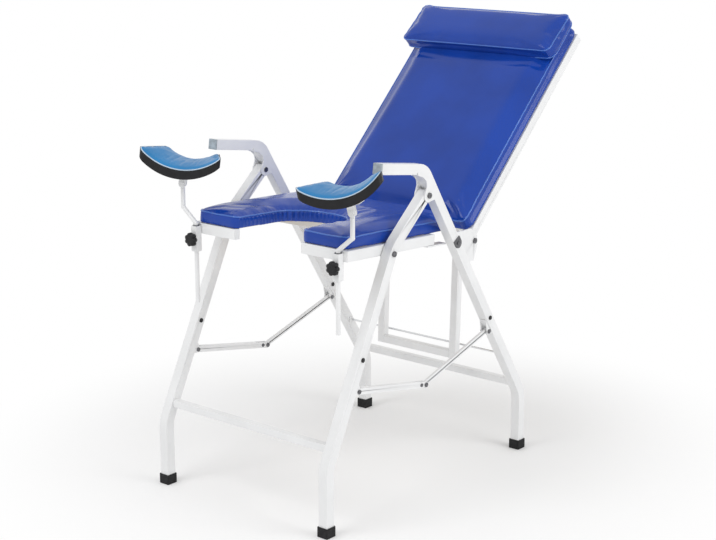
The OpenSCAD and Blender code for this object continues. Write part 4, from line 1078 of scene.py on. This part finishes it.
class EXAMBED_OT_stage(bpy.types.Operator):
    """Make the floor, the lamps, the sky and the camera"""
    bl_idname = "exam_bed.stage"
    bl_label = "Floor, Light and Camera"

    def execute(self, context):
        look = context.scene.exam_bed_stage
        scene = context.scene
        scene.view_settings.view_transform = "Standard"
        self.floor(look)
        self.sky(scene, look)
        for name, (setting, place, target, size) in LAMPS.items():
            self.lamp(name, place, target, size, getattr(look, setting))
        self.camera(scene, look)
        return {"FINISHED"}

    @staticmethod
    def floor(look):
        shape = bmesh.new()
        bmesh.ops.create_circle(shape, cap_ends=True, segments=96, radius=look.floor_radius)
        floor = mesh_object("floor", shape)
        made = Finish("pale_floor", look.floor, 0.9, Specular_IOR_Level=0.1)
        far = made.node("ShaderNodeVectorMath", operation="LENGTH")
        made.link(made.place, far.inputs[0])
        first, last = FLOOR_FADE
        fade = made.node("ShaderNodeMapRange", {"From Min": first, "From Max": last},
                         interpolation_type="SMOOTHSTEP")
        made.link(far.outputs["Value"], fade.inputs["Value"])
        white = made.node("ShaderNodeEmission", {"Strength": 1.0})
        seen = white_for_eye(made.tree, fade.outputs["Result"], made.shader.outputs["BSDF"],
                             white.outputs["Emission"])
        made.link(seen, made.tree.nodes["Material Output"].inputs["Surface"])
        floor.data.materials.append(made.material)

    @staticmethod
    def sky(scene, look):
        world = bpy.data.worlds.new("studio")
        world.use_nodes = True
        scene.world = world
        tree = world.node_tree
        plain = tree.nodes["Background"]
        white = tree.nodes.new("ShaderNodeBackground")
        for background, strength in ((plain, look.sky), (white, 1.0)):
            background.inputs["Color"].default_value = WHITE
            background.inputs["Strength"].default_value = strength
        seen = white_for_eye(tree, None, plain.outputs["Background"],
                             white.outputs["Background"])
        tree.links.new(seen, tree.nodes["World Output"].inputs["Surface"])

    @staticmethod
    def lamp(name, place, target, size, watts):
        lamp = bpy.data.lights.new(name, "AREA")
        lamp.shape = "DISK"
        lamp.size = size
        lamp.energy = watts
        holder = new_object(name, lamp)
        holder.location = place
        toward = Vector(target) - Vector(place)
        holder.rotation_euler = toward.to_track_quat("-Z", "Y").to_euler()

    @staticmethod
    def camera(scene, look):
        lens = bpy.data.cameras.new("camera")
        lens.sensor_fit = "HORIZONTAL"
        lens.sensor_width = 36.0
        lens.lens = look.lens
        lens.clip_end = 100.0
        holder = new_object("camera", lens)
        turn, rise = look.camera_turn, look.camera_rise
        back = Vector((math.sin(turn) * math.cos(rise), -math.cos(turn) * math.cos(rise),
                       math.sin(rise)))
        holder.location = Vector(look.target) + back * look.camera_reach
        holder.rotation_euler = (-back).to_track_quat("-Z", "Y").to_euler()
        scene.camera = holder


def both(*names):
    """Names of the nodes on the two sides."""
    return tuple(name + "_" + side for name in names for side in SIDES.values())


# Painted nodes by the rounding of their edges, in metres
FRAME_NODES = {
    0.0028: both("rear_leg", "front_leg", "seat_rail", "back_tube", "prop_leg"),
    0.0020: (
        "rear_crossbar", "front_crossbar", "seat_front_bars", "seat_cross_bars",
        "back_cross_bars", "prop_foot_bar", "rod_sockets",
    ),
    0.0007: (
        *both("front_stay", "rear_stay", "pad_bracket"), "apex_brackets", "back_brackets",
        "front_stay_brackets", "rear_stay_brackets", "seat_rests", "prop_hinge", "prop_racks",
        "rack_tabs",
    ),
    0.0: both("support_rod"),
}


class EXAMBED_OT_frame(bpy.types.Operator):
    """Powder coat the tubes, bars, brackets, stays and support rods"""
    bl_idname = "exam_bed.frame"
    bl_label = "Painted Frame"

    def execute(self, context):
        paint = powder_coat(context.scene.exam_bed_finishes.paint)
        for edge, names in FRAME_NODES.items():
            for name in names:
                finish_node(name, paint, edge)
        close_tubes(paint)
        return {"FINISHED"}


class EXAMBED_OT_metal(bpy.types.Operator):
    """Finish the bolts and the bright cross rod"""
    bl_idname = "exam_bed.metal"
    bl_label = "Bolts and Rod"

    def execute(self, context):
        look = context.scene.exam_bed_finishes
        steel = bolt_steel(look.bolt)
        for name in ("apex_bolts", "bracket_bolts", "back_pivot_bolts", "rear_stay_bolts",
                     "front_stay_bolts", "seat_pivot_bolts", *both("mid_bolts")):
            finish_node(name, steel, 0.0006, 2)
        finish_node("rack_rod", bright_bar(look.rod))
        return {"FINISHED"}


class EXAMBED_OT_mouldings(bpy.types.Operator):
    """Finish the feet, caps, plugs, bushes, knobs and pad shells"""
    bl_idname = "exam_bed.mouldings"
    bl_label = "Plastic and Rubber"

    def execute(self, context):
        look = context.scene.exam_bed_finishes
        rubber = moulded("foot_rubber", look.rubber, 0.72, 420.0)
        plug = moulded("plug_plastic", look.black, 0.42, 700.0)
        knob = moulded("knob_plastic", look.black, 0.36, 520.0)
        shell = moulded("shell_plastic", look.black, 0.46, 380.0)
        cap = moulded("arm_cap_plastic", look.cap, 0.48, 520.0)
        bush = moulded("bush_plastic", look.bush, 0.5, 600.0)
        for material, edge, names in (
                (rubber, 0.0020, ("rear_feet", "front_feet")),
                (plug, 0.0007, ("rear_plugs", "front_plugs")),
                (cap, 0.0012, ("arm_caps",)),
                (bush, 0.0004, both("socket_bush")),
                (shell, 0.0030, both("pad_shell"))):
            for name in names:
                finish_node(name, material, edge)
        for side in SIDES:
            make_knob(side, knob)
        return {"FINISHED"}


class EXAMBED_OT_boards(bpy.types.Operator):
    """Finish the plywood boards below the cushions"""
    bl_idname = "exam_bed.boards"
    bl_label = "Boards"

    def execute(self, context):
        wood = plywood(context.scene.exam_bed_finishes.wood)
        make_board("seat_board", seat_outline, SEAT_BASE, on_seat, "seat", wood)
        make_board("back_board", back_outline, BACK_BASE, on_back, "back", wood)
        return {"FINISHED"}


def bed_materials(context):
    """The blue cover of the three bed cushions and the finish of the cords sewn on it."""
    look = context.scene.exam_bed_finishes
    cover = bpy.data.materials.get("bed_cover")
    welt = bpy.data.materials.get("bed_welt")
    return (cover or coated_cloth("bed_cover", look.cover, 0.2, 0.22, 0.2, 0.0018),
            # The welt finish has a lighter blue than the cover, a painted highlight along the edges
            welt or coated_cloth("bed_welt", look.welt, 0.2, 0.5, 0.3, 0.0006))


class EXAMBED_OT_seat(bpy.types.Operator):
    """Upholster the seat with its notch"""
    bl_idname = "exam_bed.seat"
    bl_label = "Seat Cushion"

    def execute(self, context):
        make_seat_cushion(context.scene.exam_bed_upholstery, *bed_materials(context))
        return {"FINISHED"}


class EXAMBED_OT_back(bpy.types.Operator):
    """Upholster the back"""
    bl_idname = "exam_bed.back"
    bl_label = "Back Cushion"

    def execute(self, context):
        make_back_cushion(context.scene.exam_bed_upholstery, *bed_materials(context))
        return {"FINISHED"}


class EXAMBED_OT_pillow(bpy.types.Operator):
    """Make the head pillow"""
    bl_idname = "exam_bed.pillow"
    bl_label = "Head Pillow"

    def execute(self, context):
        make_head_pillow(context.scene.exam_bed_upholstery, *bed_materials(context))
        return {"FINISHED"}


class EXAMBED_OT_pads(bpy.types.Operator):
    """Upholster the two leg pads"""
    bl_idname = "exam_bed.pads"
    bl_label = "Leg Pads"

    def execute(self, context):
        finishes = context.scene.exam_bed_finishes
        cloth = coated_cloth("pad_cover", finishes.pad_cover, 0.34, 0.15, 0.06, 0.0014)
        piping = coated_cloth("pad_piping", finishes.pad_piping, 0.4, 0.4, 0.0, 0.0005)
        for side in SIDES:
            make_leg_pad(side, context.scene.exam_bed_upholstery, cloth, piping)
        return {"FINISHED"}


OPERATORS = (
    EXAMBED_OT_stage, EXAMBED_OT_frame, EXAMBED_OT_metal, EXAMBED_OT_mouldings,
    EXAMBED_OT_boards, EXAMBED_OT_seat, EXAMBED_OT_back, EXAMBED_OT_pillow, EXAMBED_OT_pads,
)


class EXAMBED_PT_panel(bpy.types.Panel):
    """Buttons that make the bed, in their order"""
    bl_idname = "EXAMBED_PT_panel"
    bl_label = "Examination Bed"
    bl_space_type = "VIEW_3D"
    bl_region_type = "UI"
    bl_category = "Exam Bed"

    def draw(self, context):
        for operator in OPERATORS:
            self.layout.operator(operator.bl_idname)
        for group in (context.scene.exam_bed_finishes, context.scene.exam_bed_upholstery,
                      context.scene.exam_bed_stage):
            box = self.layout.box()
            for name in group.bl_rna.properties.keys():
                if name not in ("rna_type", "name"):
                    box.prop(group, name)


CLASSES = (ExamBedFinishes, ExamBedUpholstery, ExamBedStage, *OPERATORS, EXAMBED_PT_panel)
SETTINGS = {
    "exam_bed_finishes": ExamBedFinishes,
    "exam_bed_upholstery": ExamBedUpholstery,
    "exam_bed_stage": ExamBedStage,
}


def register():
    for cls in CLASSES:
        bpy.utils.register_class(cls)
    for name, group in SETTINGS.items():
        setattr(bpy.types.Scene, name, bpy.props.PointerProperty(type=group))


def unregister():
    for name in SETTINGS:
        delattr(bpy.types.Scene, name)
    for cls in reversed(CLASSES):
        bpy.utils.unregister_class(cls)


def main():
    register()
    bpy.ops.exam_bed.stage()
    bpy.ops.exam_bed.frame()
    bpy.ops.exam_bed.metal()
    bpy.ops.exam_bed.mouldings()
    bpy.ops.exam_bed.boards()
    bpy.ops.exam_bed.seat()
    bpy.ops.exam_bed.back()
    bpy.ops.exam_bed.pillow()
    bpy.ops.exam_bed.pads()
    bpy.context.view_layer.update()


if __name__ == "__main__":
    main()
